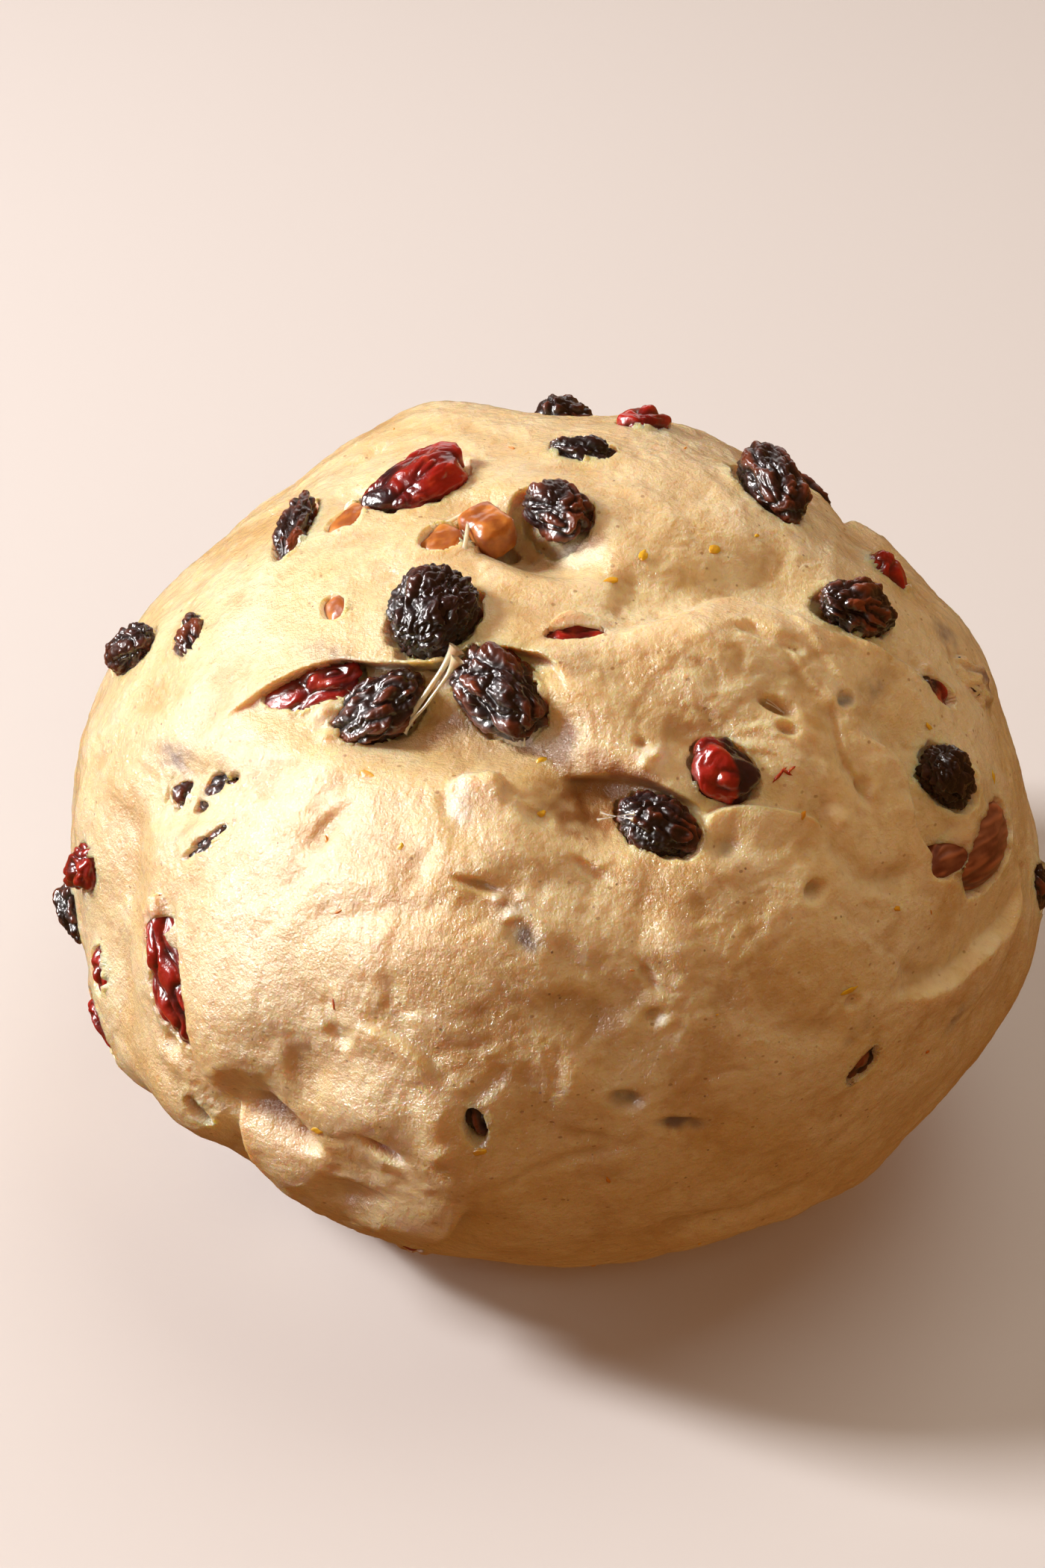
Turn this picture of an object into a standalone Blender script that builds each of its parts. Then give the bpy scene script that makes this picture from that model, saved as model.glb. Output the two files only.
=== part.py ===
"""A ball of raw fruit bread dough, kneaded full of raisins, cranberries, apricot and almond.

The dough is one solid: a squat ellipsoid on a flat foot, shaped by lobes, hollows, folds and creases
laid out over it by azimuth and elevation. Each piece of fruit that shows is a solid of its own and sits
in a pocket cut into the dough. Lengths are in millimetres until a mesh is made, and angles in degrees.
Azimuth 0 is the front (-Y), 90 is the right side (+X), and elevation 90 is the top.
"""

import math

import bmesh
import bpy
import numpy as np
from mathutils import Matrix, Vector

MM = 0.001

# The ball
HALF_WIDTH = 68.0
HALF_HEIGHT = 56.0
HEART = (0.8, -0.4, 43.5)  # the ellipsoid's centre, placed so that the whole stands centred on the origin
FOOT_ROUNDING = 6.0  # how softly the side turns into the flat foot
MEAN_RADIUS = 62.0  # turns an angle over the ball into a length
SMOOTH_BELOW = 12.0  # the relief fades out over this height above the foot
GRID = 17  # squares along one side of the cube that is blown up into the ball

# The foot is flat in its middle and bears on three spots near its rim; between them it lifts a little
FLAT_RADIUS = 15.0
FOOT_RADIUS = 36.0
FOOT_LIFT = 0.35
BEARING_SPOTS = (90, 210, 330)  # degrees round the foot

# Folds and creases
PATH_STEPS = 6  # straight pieces drawn for each stretch between two points of a path
FOLD_STEP = 3.0  # width of the drop at a fold's edge
FADE_SHARE = 0.22  # share of a path over which it rises from nothing, at either end

# Fruit
POCKET_CLEARANCE = 0.45
LONG = 12.5  # fruit from this length is a sphere of segments and rings, and shorter fruit an icosphere
SEGMENTS, RINGS = 11, 7

# azimuth, elevation, reach along, reach across, turn, height: broad swellings (+) and dips (-)
LOBES = (
    (-156, 54, 17, 13, 0, 3.0),
    (-179, 52, 11, 10, 0, -4.6),
    (168, 58, 10, 8, 0, 0.8),
    (119, 37, 18, 16, 60, -5.0),
    (-120, 36, 24, 18, 0, -1.5),
    (70, -6, 16, 13, 0, 2.0),
    (90, 12, 10, 10, 0, -2.0),
    (-50, -25, 8, 9, 20, -7.0),
    (-60, -17, 9, 7, 0, 1.8),
    (-66, -12, 14, 10, 0, 2.0),
    (40, -26, 16, 11, 0, 1.4),
    (-6, 10, 34, 24, 0, 1.8),
    (1, 14, 10, 9, 0, 1.5),
    (7, 12, 6, 5, -50, -1.5),
    (-20, 22, 16, 12, 20, 1.2),
    (22, 24, 12, 9, -30, 1.2),
    (2, 49, 12, 6, -60, 1.8),
    (34, 55, 13, 6, -15, 3.2),
    (47, 60, 26, 6, -30, -2.6),
    (45, 40, 10, 14, 0, 1.4),
    (-60, 60, 18, 12, 0, 1.0),
    (-70, 46, 16, 12, 0, 1.2),
    (-64, 8, 10, 18, -10, -2.0),
    (-34, -2, 6, 4, 20, -3.0),
    (58, 30, 9, 9, 0, -0.8),
    (62, 24, 6, 5, 0, 1.5),
    (140, 12, 26, 20, 30, 2.0),
    (165, 34, 20, 12, -20, -1.8),
    (-160, 8, 22, 20, 0, 1.8),
    (-128, -6, 16, 16, 0, -1.6),
    (108, -10, 18, 12, 0, -1.4),
)

# azimuth, elevation, reach along, reach across, turn, depth: steep-sided hollows
HOLLOWS = (
    (-21, 45, 19, 6.5, 6, 6.5),
    (-8, 48, 8, 7, -40, 2.0),
    (-24, 78, 9, 5.5, -20, 4.5),
    (9, 37, 9, 5, -20, 4.6),
    (24, 41, 6, 5, -40, 1.6),
    (-57, 26, 9, 4.5, 30, 1.8),
    (150, 27, 10, 6, 25, 4.0),
    (-146, 20, 12, 5, -40, 3.6),
)
HOLLOW_STEEPNESS = 1.7

# Path, lip, drop, reach: the dough stands proud on the left of someone walking the path, and drops on the right
FOLDS = (
    (((-54, 40), (-50, 46), (-43, 50), (-33, 52), (-22, 55), (-12, 58), (-1, 55), (3, 47), (-2, 42)), 1.4, 2.6, 5),
    (((-36, 70), (-45, 78), (-60, 84), (30, 86), (34, 80), (14, 75)), 0.6, 1.6, 5),
    (((-2, 42), (6, 41), (11, 39), (16, 38)), 0.8, 2.2, 4),
    (((-53, 21), (-49, 15), (-45, 8), (-43, 1), (-41, -5), (-38, -9)), 1.8, 3.4, 9),
    (((-38, -7), (-34, -13), (-30, -20), (-27, -27)), 1.0, 2.6, 7),
    (((-22, -26), (-15, -17), (-12, -13), (-9, -6)), 0.8, 1.8, 6),
    (((10, -24), (20, -21), (30, -21), (37, -17)), 0.8, 2.2, 7),
    (((66, 10), (52, 13), (46, 13), (39, 13), (30, 15), (22, 15)), 1.2, 1.8, 8),
    (((76, 34), (72, 42), (60, 52), (52, 60), (31, 58), (21, 53)), 1.0, 2.4, 8),
    (((56, 13), (52, 19), (50, 25), (53, 32), (47, 39)), 0.8, 1.6, 6),
    (((140, -10), (132, 8), (126, 20), (128, 32)), 1.4, 2.8, 9),
    (((-176, 38), (168, 34), (152, 34), (140, 24)), 1.0, 2.2, 7),
    (((-168, -14), (-156, 4), (-160, 24), (-172, 38)), 1.4, 2.8, 9),
    (((-104, -18), (-116, 0), (-122, 16), (-134, 26)), 1.2, 2.4, 8),
)

# Path, depth, half width
CREASES = (
    (((19, 70), (35, 66), (57, 61), (76, 50)), 1.6, 5),
    (((-12, 29), (-8, 28), (0, 30), (10, 29)), 0.8, 3),
    (((50, 43), (47, 38), (47, 32)), 1.4, 3),
    (((-68, 22), (-62, 14), (-60, 4), (-58, -8)), 1.4, 5),
    (((176, 20), (-176, 4), (178, -12)), 1.8, 5),
    (((104, 28), (98, 12), (102, -4)), 1.2, 5),
)

# name, kind, azimuth, elevation, length, width, thickness, turn of the length from level, and how far the
# middle stands above the smooth ball
FRUIT = (
    ("raisin_top", "raisin", -31, 60, 13.0, 12.0, 10.5, 40, 1.5),
    ("raisin_centre_right", "raisin", -10, 51.5, 16.0, 10.5, 8.5, -33, -1.2),
    ("raisin_centre_left", "raisin", -34.5, 46, 14.0, 8.5, 7.0, 50, -3.2),
    ("cranberry_centre", "cranberry", -49.5, 44, 15.0, 7.0, 4.5, 57, -2.2),
    ("cranberry_top", "cranberry", -98, 72, 15.5, 9.0, 6.5, 131, 0.8),
    ("raisin_upper_left", "raisin", -87, 54, 14.5, 6.5, 6.0, 167, 0.8),
    ("apricot_front", "apricot", -40, 76, 7.5, 6.0, 5.5, -10, -2.0),
    ("apricot_rear", "apricot", -61, 71, 6.0, 5.0, 5.0, 99, -1.6),
    ("raisin_upper_right", "raisin", 4, 82, 11.0, 8.0, 7.0, -48, -0.8),
    ("raisin_top_rear", "raisin", 157, 80, 9.5, 6.0, 6.0, -170, -0.6),
    ("cranberry_crest", "cranberry", 152, 62, 9.0, 6.0, 5.0, -102, -0.6),
    ("raisin_crest", "raisin", 104, 60, 16.0, 8.5, 8.0, -172, 1.4),
    ("raisin_left_small", "raisin", -77, 38, 8.0, 6.0, 5.0, 0, -0.4),
    ("raisin_left_edge", "raisin", -88, 28, 12.0, 7.0, 6.5, 59, 0.4),
    ("cranberry_slit", "cranberry", 4, 60, 9.0, 6.0, 4.0, 6, -1.2),
    ("raisin_right", "raisin", 71, 47, 14.0, 8.5, 7.5, -50, -0.6),
    ("cranberry_right_rear", "cranberry", 93, 42, 8.0, 6.0, 5.0, -81, -1.8),
    ("cranberry_right", "cranberry", 71.5, 33.5, 8.0, 5.5, 4.5, -67, -0.8),
    ("raisin_right_dark", "raisin", 80, 27.5, 8.5, 6.5, 6.0, -107, -0.8),
    ("raisin_black", "raisin", 60, 27, 9.5, 8.0, 6.0, -81, -0.4),
    ("cranberry_mid", "cranberry", 25.5, 39.5, 10.0, 8.0, 7.0, -43, -1.0),
    ("raisin_mid", "raisin", 14.5, 35, 10.5, 8.0, 7.5, -37, -2.6),
    ("almond_right", "almond", 59, 17.5, 21.0, 11.0, 7.0, -12, -1.8),
    ("cranberry_left", "cranberry", -49, 6, 18.5, 9.0, 7.5, -63, -1.6),
    ("raisin_left_low", "raisin", -79, -4.5, 9.0, 7.0, 6.0, -40, 0.2),
    ("cranberry_left_edge", "cranberry", -72.5, 6, 9.5, 6.0, 5.0, 52, -0.4),
    ("cranberry_low_front", "cranberry", -62, -2.5, 6.5, 5.0, 4.0, -66, -1.2),
    ("cranberry_low_rear", "cranberry", -66, -12, 11.0, 6.0, 5.0, -45, 0.6),
    ("raisin_web_left", "raisin", -60.5, 25, 9.0, 6.0, 5.0, -31, -1.4),
    ("raisin_web_right", "raisin", -51.5, 29, 9.5, 6.0, 5.0, 66, -1.4),
    ("raisin_slit_left", "raisin", -46.5, 22.5, 9.0, 5.5, 4.5, 55, -1.0),
    ("raisin_low", "raisin", -7.5, 3.6, 9.0, 7.0, 6.0, -94, 0.0),
    ("raisin_slit_right", "raisin", 35, 2, 9.0, 6.0, 5.0, 4, -1.0),
    ("raisin_under_left", "raisin", -42.5, -7, 8.0, 5.5, 5.0, -46, -2.8),
    ("cranberry_foot", "cranberry", -19, -27, 6.0, 5.0, 4.0, 0, -1.4),
    ("pale_chip", "pale_fruit", -12.6, 38.6, 7.5, 5.0, 4.5, -66, -1.4),
    ("peel_small", "apricot", -54, 55, 6.0, 4.5, 3.5, -20, 0.0),
    ("peel_top", "apricot", -83, 60, 7.5, 5.0, 4.0, 132, -0.4),
    ("raisin_edge_right", "raisin", 73, 3, 8.0, 6.0, 5.0, -85, 0.0),
    ("raisin_back_upper", "raisin", 142, 25, 13.0, 9.0, 8.0, 20, -1.6),
    ("raisin_back_high", "raisin", 178, 36, 12.0, 10.0, 8.0, 70, -1.0),
    ("cranberry_back_left", "cranberry", -148, 27, 15.0, 8.0, 6.0, -40, -2.0),
    ("almond_back", "almond", 156, 8, 20.0, 12.0, 7.0, 35, 0.0),
    ("cranberry_back_right", "cranberry", 121, 8, 13.0, 8.0, 6.0, -60, -1.2),
    ("raisin_back_left", "raisin", -126, 4, 12.0, 8.0, 7.0, 10, -1.0),
    ("raisin_back_low", "raisin", -172, -3, 10.0, 8.0, 7.0, -20, 0.0),
    ("raisin_right_low", "raisin", 100, -7, 10.0, 7.0, 6.0, 60, -1.6),
    ("cranberry_back_high", "cranberry", -163, 31, 12.0, 7.0, 6.0, 80, -1.4),
    ("raisin_back_foot", "raisin", -142, -13, 9.0, 7.0, 6.0, 45, -0.6),
    ("apricot_back", "apricot", 174, 16, 9.0, 7.0, 6.0, 25, -1.2),
    ("raisin_right_foot", "raisin", 122, -15, 9.0, 7.0, 6.0, 0, -0.8),
    ("raisin_left_rear", "raisin", -104, -4, 11.0, 7.0, 6.0, -45, -0.8),
)

# kind: base colour, roughness
FINISH = {
    "dough": ((0.78, 0.62, 0.38), 0.45),
    "raisin": ((0.035, 0.012, 0.010), 0.35),
    "cranberry": ((0.28, 0.012, 0.018), 0.25),
    "almond": ((0.30, 0.10, 0.040), 0.55),
    "apricot": ((0.55, 0.22, 0.045), 0.40),
    "pale_fruit": ((0.82, 0.68, 0.33), 0.40),
}


def smooth(share):
    """0 to 1 as share runs from 0 to 1, level at both ends."""
    share = np.clip(share, 0.0, 1.0)
    return share * share * (3.0 - 2.0 * share)


def direction(azimuth, elevation):
    """Unit vector from the heart of the ball."""
    az, el = math.radians(azimuth), math.radians(elevation)
    return np.array([math.sin(az) * math.cos(el), -math.cos(az) * math.cos(el), math.sin(el)])


def tangents(azimuth, elevation, turn):
    """Unit vectors along the surface: one turned from level towards the top by turn, and one across it."""
    az, el, by = math.radians(azimuth), math.radians(elevation), math.radians(turn)
    level = np.array([math.cos(az), math.sin(az), 0.0])
    upward = np.array([-math.sin(az) * math.sin(el), math.cos(az) * math.sin(el), math.cos(el)])
    return level * math.cos(by) + upward * math.sin(by), upward * math.cos(by) - level * math.sin(by)


def mound(dirs, azimuth, elevation, along, across, turn, height, steepness):
    """A swelling with a round plan; steepness above 1 flattens its top and steepens its sides."""
    centre = direction(azimuth, elevation)
    long_way, short_way = tangents(azimuth, elevation, turn)
    offset = (dirs - centre) * MEAN_RADIUS
    spread = (offset @ long_way / along) ** 2 + (offset @ short_way / across) ** 2
    on_this_side = dirs @ centre > 0.0
    return np.where(on_this_side, height * np.exp(-np.minimum(spread, 50.0) ** steepness), 0.0)


def smooth_path(path):
    """The path over the ball as one smooth curve (Catmull-Rom), in millimetres from the heart."""
    corners = np.array([direction(*corner) for corner in path])
    padded = np.vstack([2 * corners[0] - corners[1], corners, 2 * corners[-1] - corners[-2]])
    points = []
    for before, start, end, after in zip(padded, padded[1:], padded[2:], padded[3:]):
        for step in range(PATH_STEPS):
            t = step / PATH_STEPS
            bend = (2 * before - 5 * start + 4 * end - after) * t + (3 * start - 3 * end + after - before) * t * t
            points.append(start + 0.5 * t * (end - before + bend))
    points.append(corners[-1])
    points = np.array(points)
    return points / np.linalg.norm(points, axis=1)[:, None] * MEAN_RADIUS


def path_distance(dirs, path):
    """Distance from the path, positive on its left as seen from outside, and the share of the way along it."""
    points = smooth_path(path)
    spots = dirs * MEAN_RADIUS
    nearest = np.full(len(dirs), np.inf)
    signed = np.zeros(len(dirs))
    share = np.zeros(len(dirs))
    for index, (start, end) in enumerate(zip(points, points[1:])):
        step = end - start
        part = np.clip((spots - start) @ step / (step @ step), 0.0, 1.0)
        gap = spots - (start + part[:, None] * step)
        distance = np.linalg.norm(gap, axis=1)
        left = gap @ np.cross(start + end, step) >= 0.0
        closer = distance < nearest
        nearest = np.where(closer, distance, nearest)
        signed = np.where(closer, np.where(left, distance, -distance), signed)
        share = np.where(closer, (index + part) / (len(points) - 1), share)
    return signed, share


def end_fade(share):
    return smooth(share / FADE_SHARE) * smooth((1.0 - share) / FADE_SHARE)


def fold(dirs, path, lip, drop, reach):
    """A flap's edge: proud by lip on the left of the path, sunk by drop on its right."""
    side, share = path_distance(dirs, path)
    step = smooth(0.5 + side / FOLD_STEP)
    level = lip * step - drop * (1.0 - step)
    return end_fade(share) * level * np.exp(-((side / reach) ** 2))


def crease(dirs, path, depth, half_width):
    side, share = path_distance(dirs, path)
    return -depth * end_fade(share) * np.exp(-((side / half_width) ** 2))


def ball_radius(dirs):
    """Distance from the heart to the smooth ball, whose lower cap is cut off flat and rounded into the foot."""
    half = np.array([HALF_WIDTH, HALF_WIDTH, HALF_HEIGHT])
    round_part = ((dirs / half) ** 2).sum(axis=1) ** -0.5
    foot = HEART[2] / np.maximum(-dirs[:, 2], 1e-6)
    share = np.clip(0.5 + 0.5 * (foot - round_part) / FOOT_ROUNDING, 0.0, 1.0)
    return foot * (1.0 - share) + round_part * share - FOOT_ROUNDING * share * (1.0 - share)


def relief(dirs):
    height = np.zeros(len(dirs))
    for lobe in LOBES:
        height += mound(dirs, *lobe, steepness=1.0)
    for azimuth, elevation, along, across, turn, depth in HOLLOWS:
        height -= mound(dirs, azimuth, elevation, along, across, turn, depth, HOLLOW_STEEPNESS)
    for path, lip, drop, reach in FOLDS:
        height += fold(dirs, path, lip, drop, reach)
    for path, depth, half_width in CREASES:
        height += crease(dirs, path, depth, half_width)
    return height


def dough_radius(dirs):
    smooth_ball = ball_radius(dirs)
    above_foot = HEART[2] + smooth_ball * dirs[:, 2]
    return smooth_ball + relief(dirs) * smooth(above_foot / SMOOTH_BELOW)


def new_collection(name):
    collection = bpy.data.collections.new(name)
    bpy.context.scene.collection.children.link(collection)
    return collection


def new_material(kind):
    colour, roughness = FINISH[kind]
    material = bpy.data.materials.new(kind)
    material.use_nodes = True
    shader = material.node_tree.nodes["Principled BSDF"]
    shader.inputs["Base Color"].default_value = (*colour, 1.0)
    shader.inputs["Roughness"].default_value = roughness
    shader.inputs["Metallic"].default_value = 0.0
    return material


def new_object(name, bm, material, collection):
    mesh = bpy.data.meshes.new(name)
    bm.to_mesh(mesh)
    bm.free()
    if material:
        mesh.materials.append(material)
    obj = bpy.data.objects.new(name, mesh)
    collection.objects.link(obj)
    return obj


def move_points(bm, points):
    for vert, point in zip(bm.verts, points):
        vert.co = Vector(point) * MM


def lift_foot(points):
    """Raises the low outer part by a hair, except at its bearing spots, so that the ball stands without rocking."""
    reach = np.hypot(points[:, 0], points[:, 1])
    low = 1.0 - smooth((points[:, 2] + HEART[2]) / SMOOTH_BELOW)
    lift = FOOT_LIFT * low * smooth((reach - FLAT_RADIUS) / (FOOT_RADIUS - FLAT_RADIUS))
    for spot in BEARING_SPOTS:
        bearing = (FOOT_RADIUS * math.cos(math.radians(spot)), FOOT_RADIUS * math.sin(math.radians(spot)), -HEART[2])
        nearest = np.argmin(np.linalg.norm(points - bearing, axis=1))
        points[nearest, 2] = -HEART[2]
        lift[nearest] = 0.0
    points[:, 2] += lift


def build_dough(collection, material):
    """A cube cut into small squares, blown up into the ball."""
    bm = bmesh.new()
    bmesh.ops.create_cube(bm, size=2.0)
    bmesh.ops.subdivide_edges(bm, edges=bm.edges[:], cuts=GRID - 1, use_grid_fill=True)
    on_cube = np.array([vert.co for vert in bm.verts])
    dirs = np.tan(on_cube * math.pi / 4.0)
    dirs /= np.linalg.norm(dirs, axis=1)[:, None]
    points = dirs * dough_radius(dirs)[:, None]
    points[:, 2] = np.maximum(points[:, 2], -HEART[2])
    lift_foot(points)
    move_points(bm, points)
    bmesh.ops.recalc_face_normals(bm, faces=bm.faces[:])
    dough = new_object("dough", bm, material, collection)
    dough.location = Vector(HEART) * MM
    return dough


def fruit_form(kind, dirs, phase):
    """Points of a fruit whose half length, half width and half thickness are 1."""
    x, y, z = dirs.T
    if kind == "almond":
        taper = 1.0 - 0.28 * x - 0.22 * x * x
        return np.column_stack([x, y * taper, z * taper])
    if kind in ("apricot", "pale_fruit"):
        boxy = (x**4 + y**4 + z**4) ** -0.25
        return dirs * (0.9 * boxy)[:, None]
    dimples = np.sin(3.2 * x + phase) * np.sin(3.6 * y + 1.7 * phase) + 0.7 * np.sin(4.1 * z + 2.3 * phase + 2.0 * x)
    depth = 0.07 if kind == "raisin" else 0.10
    return dirs * (0.95 + depth * dimples)[:, None]


def fruit_mesh(kind, sizes, phase, clearance):
    bm = bmesh.new()
    if max(sizes) >= LONG:
        bmesh.ops.create_uvsphere(bm, u_segments=SEGMENTS, v_segments=RINGS, radius=1.0)
    else:
        bmesh.ops.create_icosphere(bm, subdivisions=2, radius=1.0)
    dirs = np.array([vert.co.normalized() for vert in bm.verts])
    half_sizes = np.array(sizes) / 2.0 + clearance
    move_points(bm, fruit_form(kind, dirs, phase) * half_sizes)
    return bm


def fruit_place(azimuth, elevation, turn, stand):
    """Matrix with X along the fruit's length, Y across it and Z outward from the heart."""
    outward = direction(azimuth, elevation)
    along, across = tangents(azimuth, elevation, turn)
    centre = np.array(HEART) + outward * (ball_radius(outward[None, :])[0] + stand)
    place = Matrix(np.column_stack([along, across, outward]).tolist()).to_4x4()
    place.translation = Vector(centre) * MM
    return place


def build_fruit(index, row, materials, parts, cutters):
    name, kind, azimuth, elevation, length, width, thickness, turn, stand = row
    sizes = (length, width, thickness)
    fruit = new_object(name, fruit_mesh(kind, sizes, index, 0.0), materials[kind], parts)
    pocket = new_object(name + "_pocket", fruit_mesh(kind, sizes, index, POCKET_CLEARANCE), None, cutters)
    for obj in (fruit, pocket):
        obj.matrix_world = fruit_place(azimuth, elevation, turn, stand)


def cut_pockets(dough, cutters):
    for obj in cutters.objects:
        obj.hide_render = True
        obj.display_type = "WIRE"
    pockets = dough.modifiers.new("fruit_pockets", "BOOLEAN")
    pockets.operation = "DIFFERENCE"
    pockets.solver = "EXACT"
    pockets.operand_type = "COLLECTION"
    pockets.collection = cutters


def main():
    for obj in list(bpy.data.objects):
        bpy.data.objects.remove(obj)
    parts = new_collection("fruit_bread_dough")
    cutters = new_collection("pocket_cutters")
    materials = {kind: new_material(kind) for kind in FINISH}
    dough = build_dough(parts, materials["dough"])
    for index, row in enumerate(FRUIT):
        build_fruit(index, row, materials, parts, cutters)
    cut_pockets(dough, cutters)


main()
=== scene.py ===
"""Looks of a ball of raw fruit bread dough, with raisins, cranberries, apricot and almond showing in it.

The dough and every fruit are modelled again at a fine grain over the part's own forms: the same ball,
lobes, hollows, folds and fruit, with overhanging lips, dough that laps over the fruit, wrinkled fruit
skins and thin gluten strands. Lengths are in millimetres until a mesh is made, and angles in degrees.
Azimuth 0 is the front (-Y), 90 is the right side (+X), and elevation 90 is the top.
"""

import itertools
import math
from collections import namedtuple

import bpy
import numpy as np
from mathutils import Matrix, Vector
from mathutils.bvhtree import BVHTree


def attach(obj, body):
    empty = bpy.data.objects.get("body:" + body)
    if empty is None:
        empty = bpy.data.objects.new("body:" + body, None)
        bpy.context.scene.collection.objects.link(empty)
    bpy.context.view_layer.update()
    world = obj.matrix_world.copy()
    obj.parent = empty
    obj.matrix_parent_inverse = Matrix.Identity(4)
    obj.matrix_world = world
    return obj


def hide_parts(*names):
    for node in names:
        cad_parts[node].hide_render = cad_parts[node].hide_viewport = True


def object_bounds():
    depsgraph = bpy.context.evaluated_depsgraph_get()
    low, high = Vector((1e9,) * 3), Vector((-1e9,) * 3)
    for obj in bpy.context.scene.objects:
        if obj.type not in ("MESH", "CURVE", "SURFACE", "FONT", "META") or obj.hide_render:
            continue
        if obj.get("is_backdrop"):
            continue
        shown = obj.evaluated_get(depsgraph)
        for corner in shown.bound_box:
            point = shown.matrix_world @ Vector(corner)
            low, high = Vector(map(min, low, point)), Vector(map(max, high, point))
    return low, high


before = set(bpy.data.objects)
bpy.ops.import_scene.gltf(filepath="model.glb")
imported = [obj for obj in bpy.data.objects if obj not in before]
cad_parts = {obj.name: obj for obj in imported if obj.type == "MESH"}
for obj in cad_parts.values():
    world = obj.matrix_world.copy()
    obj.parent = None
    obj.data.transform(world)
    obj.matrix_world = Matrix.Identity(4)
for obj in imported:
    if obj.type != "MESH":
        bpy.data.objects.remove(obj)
CAD_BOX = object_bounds()

MM = 0.001
ROOT = "root"

# The ball, as in the part
HALF_WIDTH = 68.0
HALF_HEIGHT = 56.0
HEART = (0.8, -0.4, 43.5)
FOOT_ROUNDING = 6.0
MEAN_RADIUS = 62.0
SMOOTH_BELOW = 12.0  # the dough is smooth at the foot, and as uneven as elsewhere this far above it
MOUND_REACH = 3.0  # a swelling or fold is nothing this many times its reach away
HOLLOW_STEEPNESS = 1.7
STAIN_STEEPNESS = 1.2
HOLLOW_SHADE_PAINT = 0.5  # how dark the painted shade on the dough is for each millimetre that it lies in a hollow
# the same painted shade for pits and for creases
PIT_SHADE_PAINT = 1.6
CREASE_SHADE_PAINT = 0.5
PATH_STEPS = 6
FADE_SHARE = 0.22  # share of a path over which its ends fade out
OVERHANG_START = 0.6
OVERHANG_REACH = 2.2

# Relief of the dough's skin, in millimetres: height and cell of each layer
BROAD_RELIEF = (0.55, 17.0)
SOFT_RELIEF = (0.42, 7.0)
LUMP_RELIEF = (0.36, 5.0)
LUMP_LEVEL = 0.11  # taken off again, as lumps only rise
BENDS = ((3.0, 12.0, 11), (0.8, 3.5, 17))  # how far the relief is bent, the bends' cell, and their seed
ROUGHNESS = (0.35, 0.25, 20.0)  # how rough the dough is, how much that varies, and the cell
# Height and cell of the finer layers, and the share of each that smooth dough keeps
FINE_RELIEF = ((0.15, 2.4, 0.3), (0.075, 1.2, 0.5))
FIRST_FINE_SEED = 4
FIRST_STREAK_SEED = 21
STREAK_STRETCH = 0.87  # 0 for round blotches, 1 for streaks without end

# Grain of the meshes
DOUGH_SQUARES = 260  # along one side of the cube that is blown up into the ball
SEEN_SIDE = (0, 35)  # azimuth and elevation towards which the dough's squares are crowded
CROWDING = 0.35
FRUIT_SQUARE = 0.19
HIDDEN_FRUIT_SQUARE = 0.36
FEWEST_SQUARES = 12  # along one side of a fruit's cube

# Random seeds, and those to which a number of a fruit, a window or a flake is added
GRADIENT_SEED = 5
ROUGHNESS_SEED = 8
LOOSE_PIT_SEED = 29
LOOSE_FLAKE_SEED = 17
PATCH_SEED = 31
WAVER_SEED = 71
WINDOW_SEED = 400
WRINKLE_SEED = 40
WRINKLE_SEED_STEP = 7
WARMTH_SEED = 500
DUSK_SEED = 600
FLAKE_SEED = 700

# azimuth, elevation, reach along, reach across, turn, height: broad swellings (+) and dips (-)
LOBES = (
    (-156, 54, 17, 13, 0, 3),
    (-179, 52, 11, 10, 0, -4.6),
    (168, 58, 10, 8, 0, 0.8),
    (119, 37, 18, 16, 60, -5),
    (-120, 36, 24, 18, 0, -1.5),
    (70, -6, 16, 13, 0, 2),
    (90, 12, 10, 10, 0, -2),
    (-50, -25, 8, 9, 20, -6.2),
    (-60, -17, 9, 7, 0, 1.8),
    (-66, -12, 14, 10, 0, 2),
    (40, -26, 16, 11, 0, 1.4),
    (-20, 5, 26, 23, 0, 2.2),
    (27, 13, 15, 15, 0, 1.6),
    (7, 12, 6, 5, -50, -1.5),
    (-20, 22, 16, 12, 20, 1.2),
    (22, 24, 12, 9, -30, 1.2),
    (2, 49, 12, 6, -60, 1.8),
    (34, 55, 13, 6, -15, 2.4),
    (47, 60, 26, 6, -30, -1.5),
    (45, 40, 10, 14, 0, 1.4),
    (-60, 60, 18, 12, 0, 1),
    (-70, 46, 16, 12, 0, 1.2),
    (-64, 8, 10, 18, -10, -2),
    (-34, -2, 6, 4, 20, -1.8),
    (14, 27, 12, 11, 0, -1.9),
    (-14, 28, 12, 10, 0, 1),
    (-49, -9, 7, 6, 0, 2),
    (-10, -14, 9, 8, 0, 2.2),
    (-27, 6, 7, 6, 60, -1.2),
    (58, 30, 9, 9, 0, -0.8),
    (62, 24, 6, 5, 0, 1.5),
    (140, 12, 26, 20, 30, 2),
    (165, 34, 20, 12, -20, -1.8),
    (-160, 8, 22, 20, 0, 1.8),
    (-128, -6, 16, 16, 0, -1.6),
    (108, -10, 18, 12, 0, -1.4),
)

# azimuth, elevation, reach along, reach across, turn, depth: steep-sided hollows
HOLLOWS = (
    (-21, 46, 19, 5.4, 6, 5.6),
    (-8, 48, 8, 7, -40, 0.8),
    (-20, 77.5, 11, 5.5, -15, 5),
    (6, 38.5, 8, 5.2, -18, 5.2),
    (24, 41, 6, 5, -40, 1.2),
    (-57, 26, 9, 4.5, 30, 1.8),
    (150, 27, 10, 6, 25, 4),
    (-146, 20, 12, 5, -40, 3.6),
)

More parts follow.
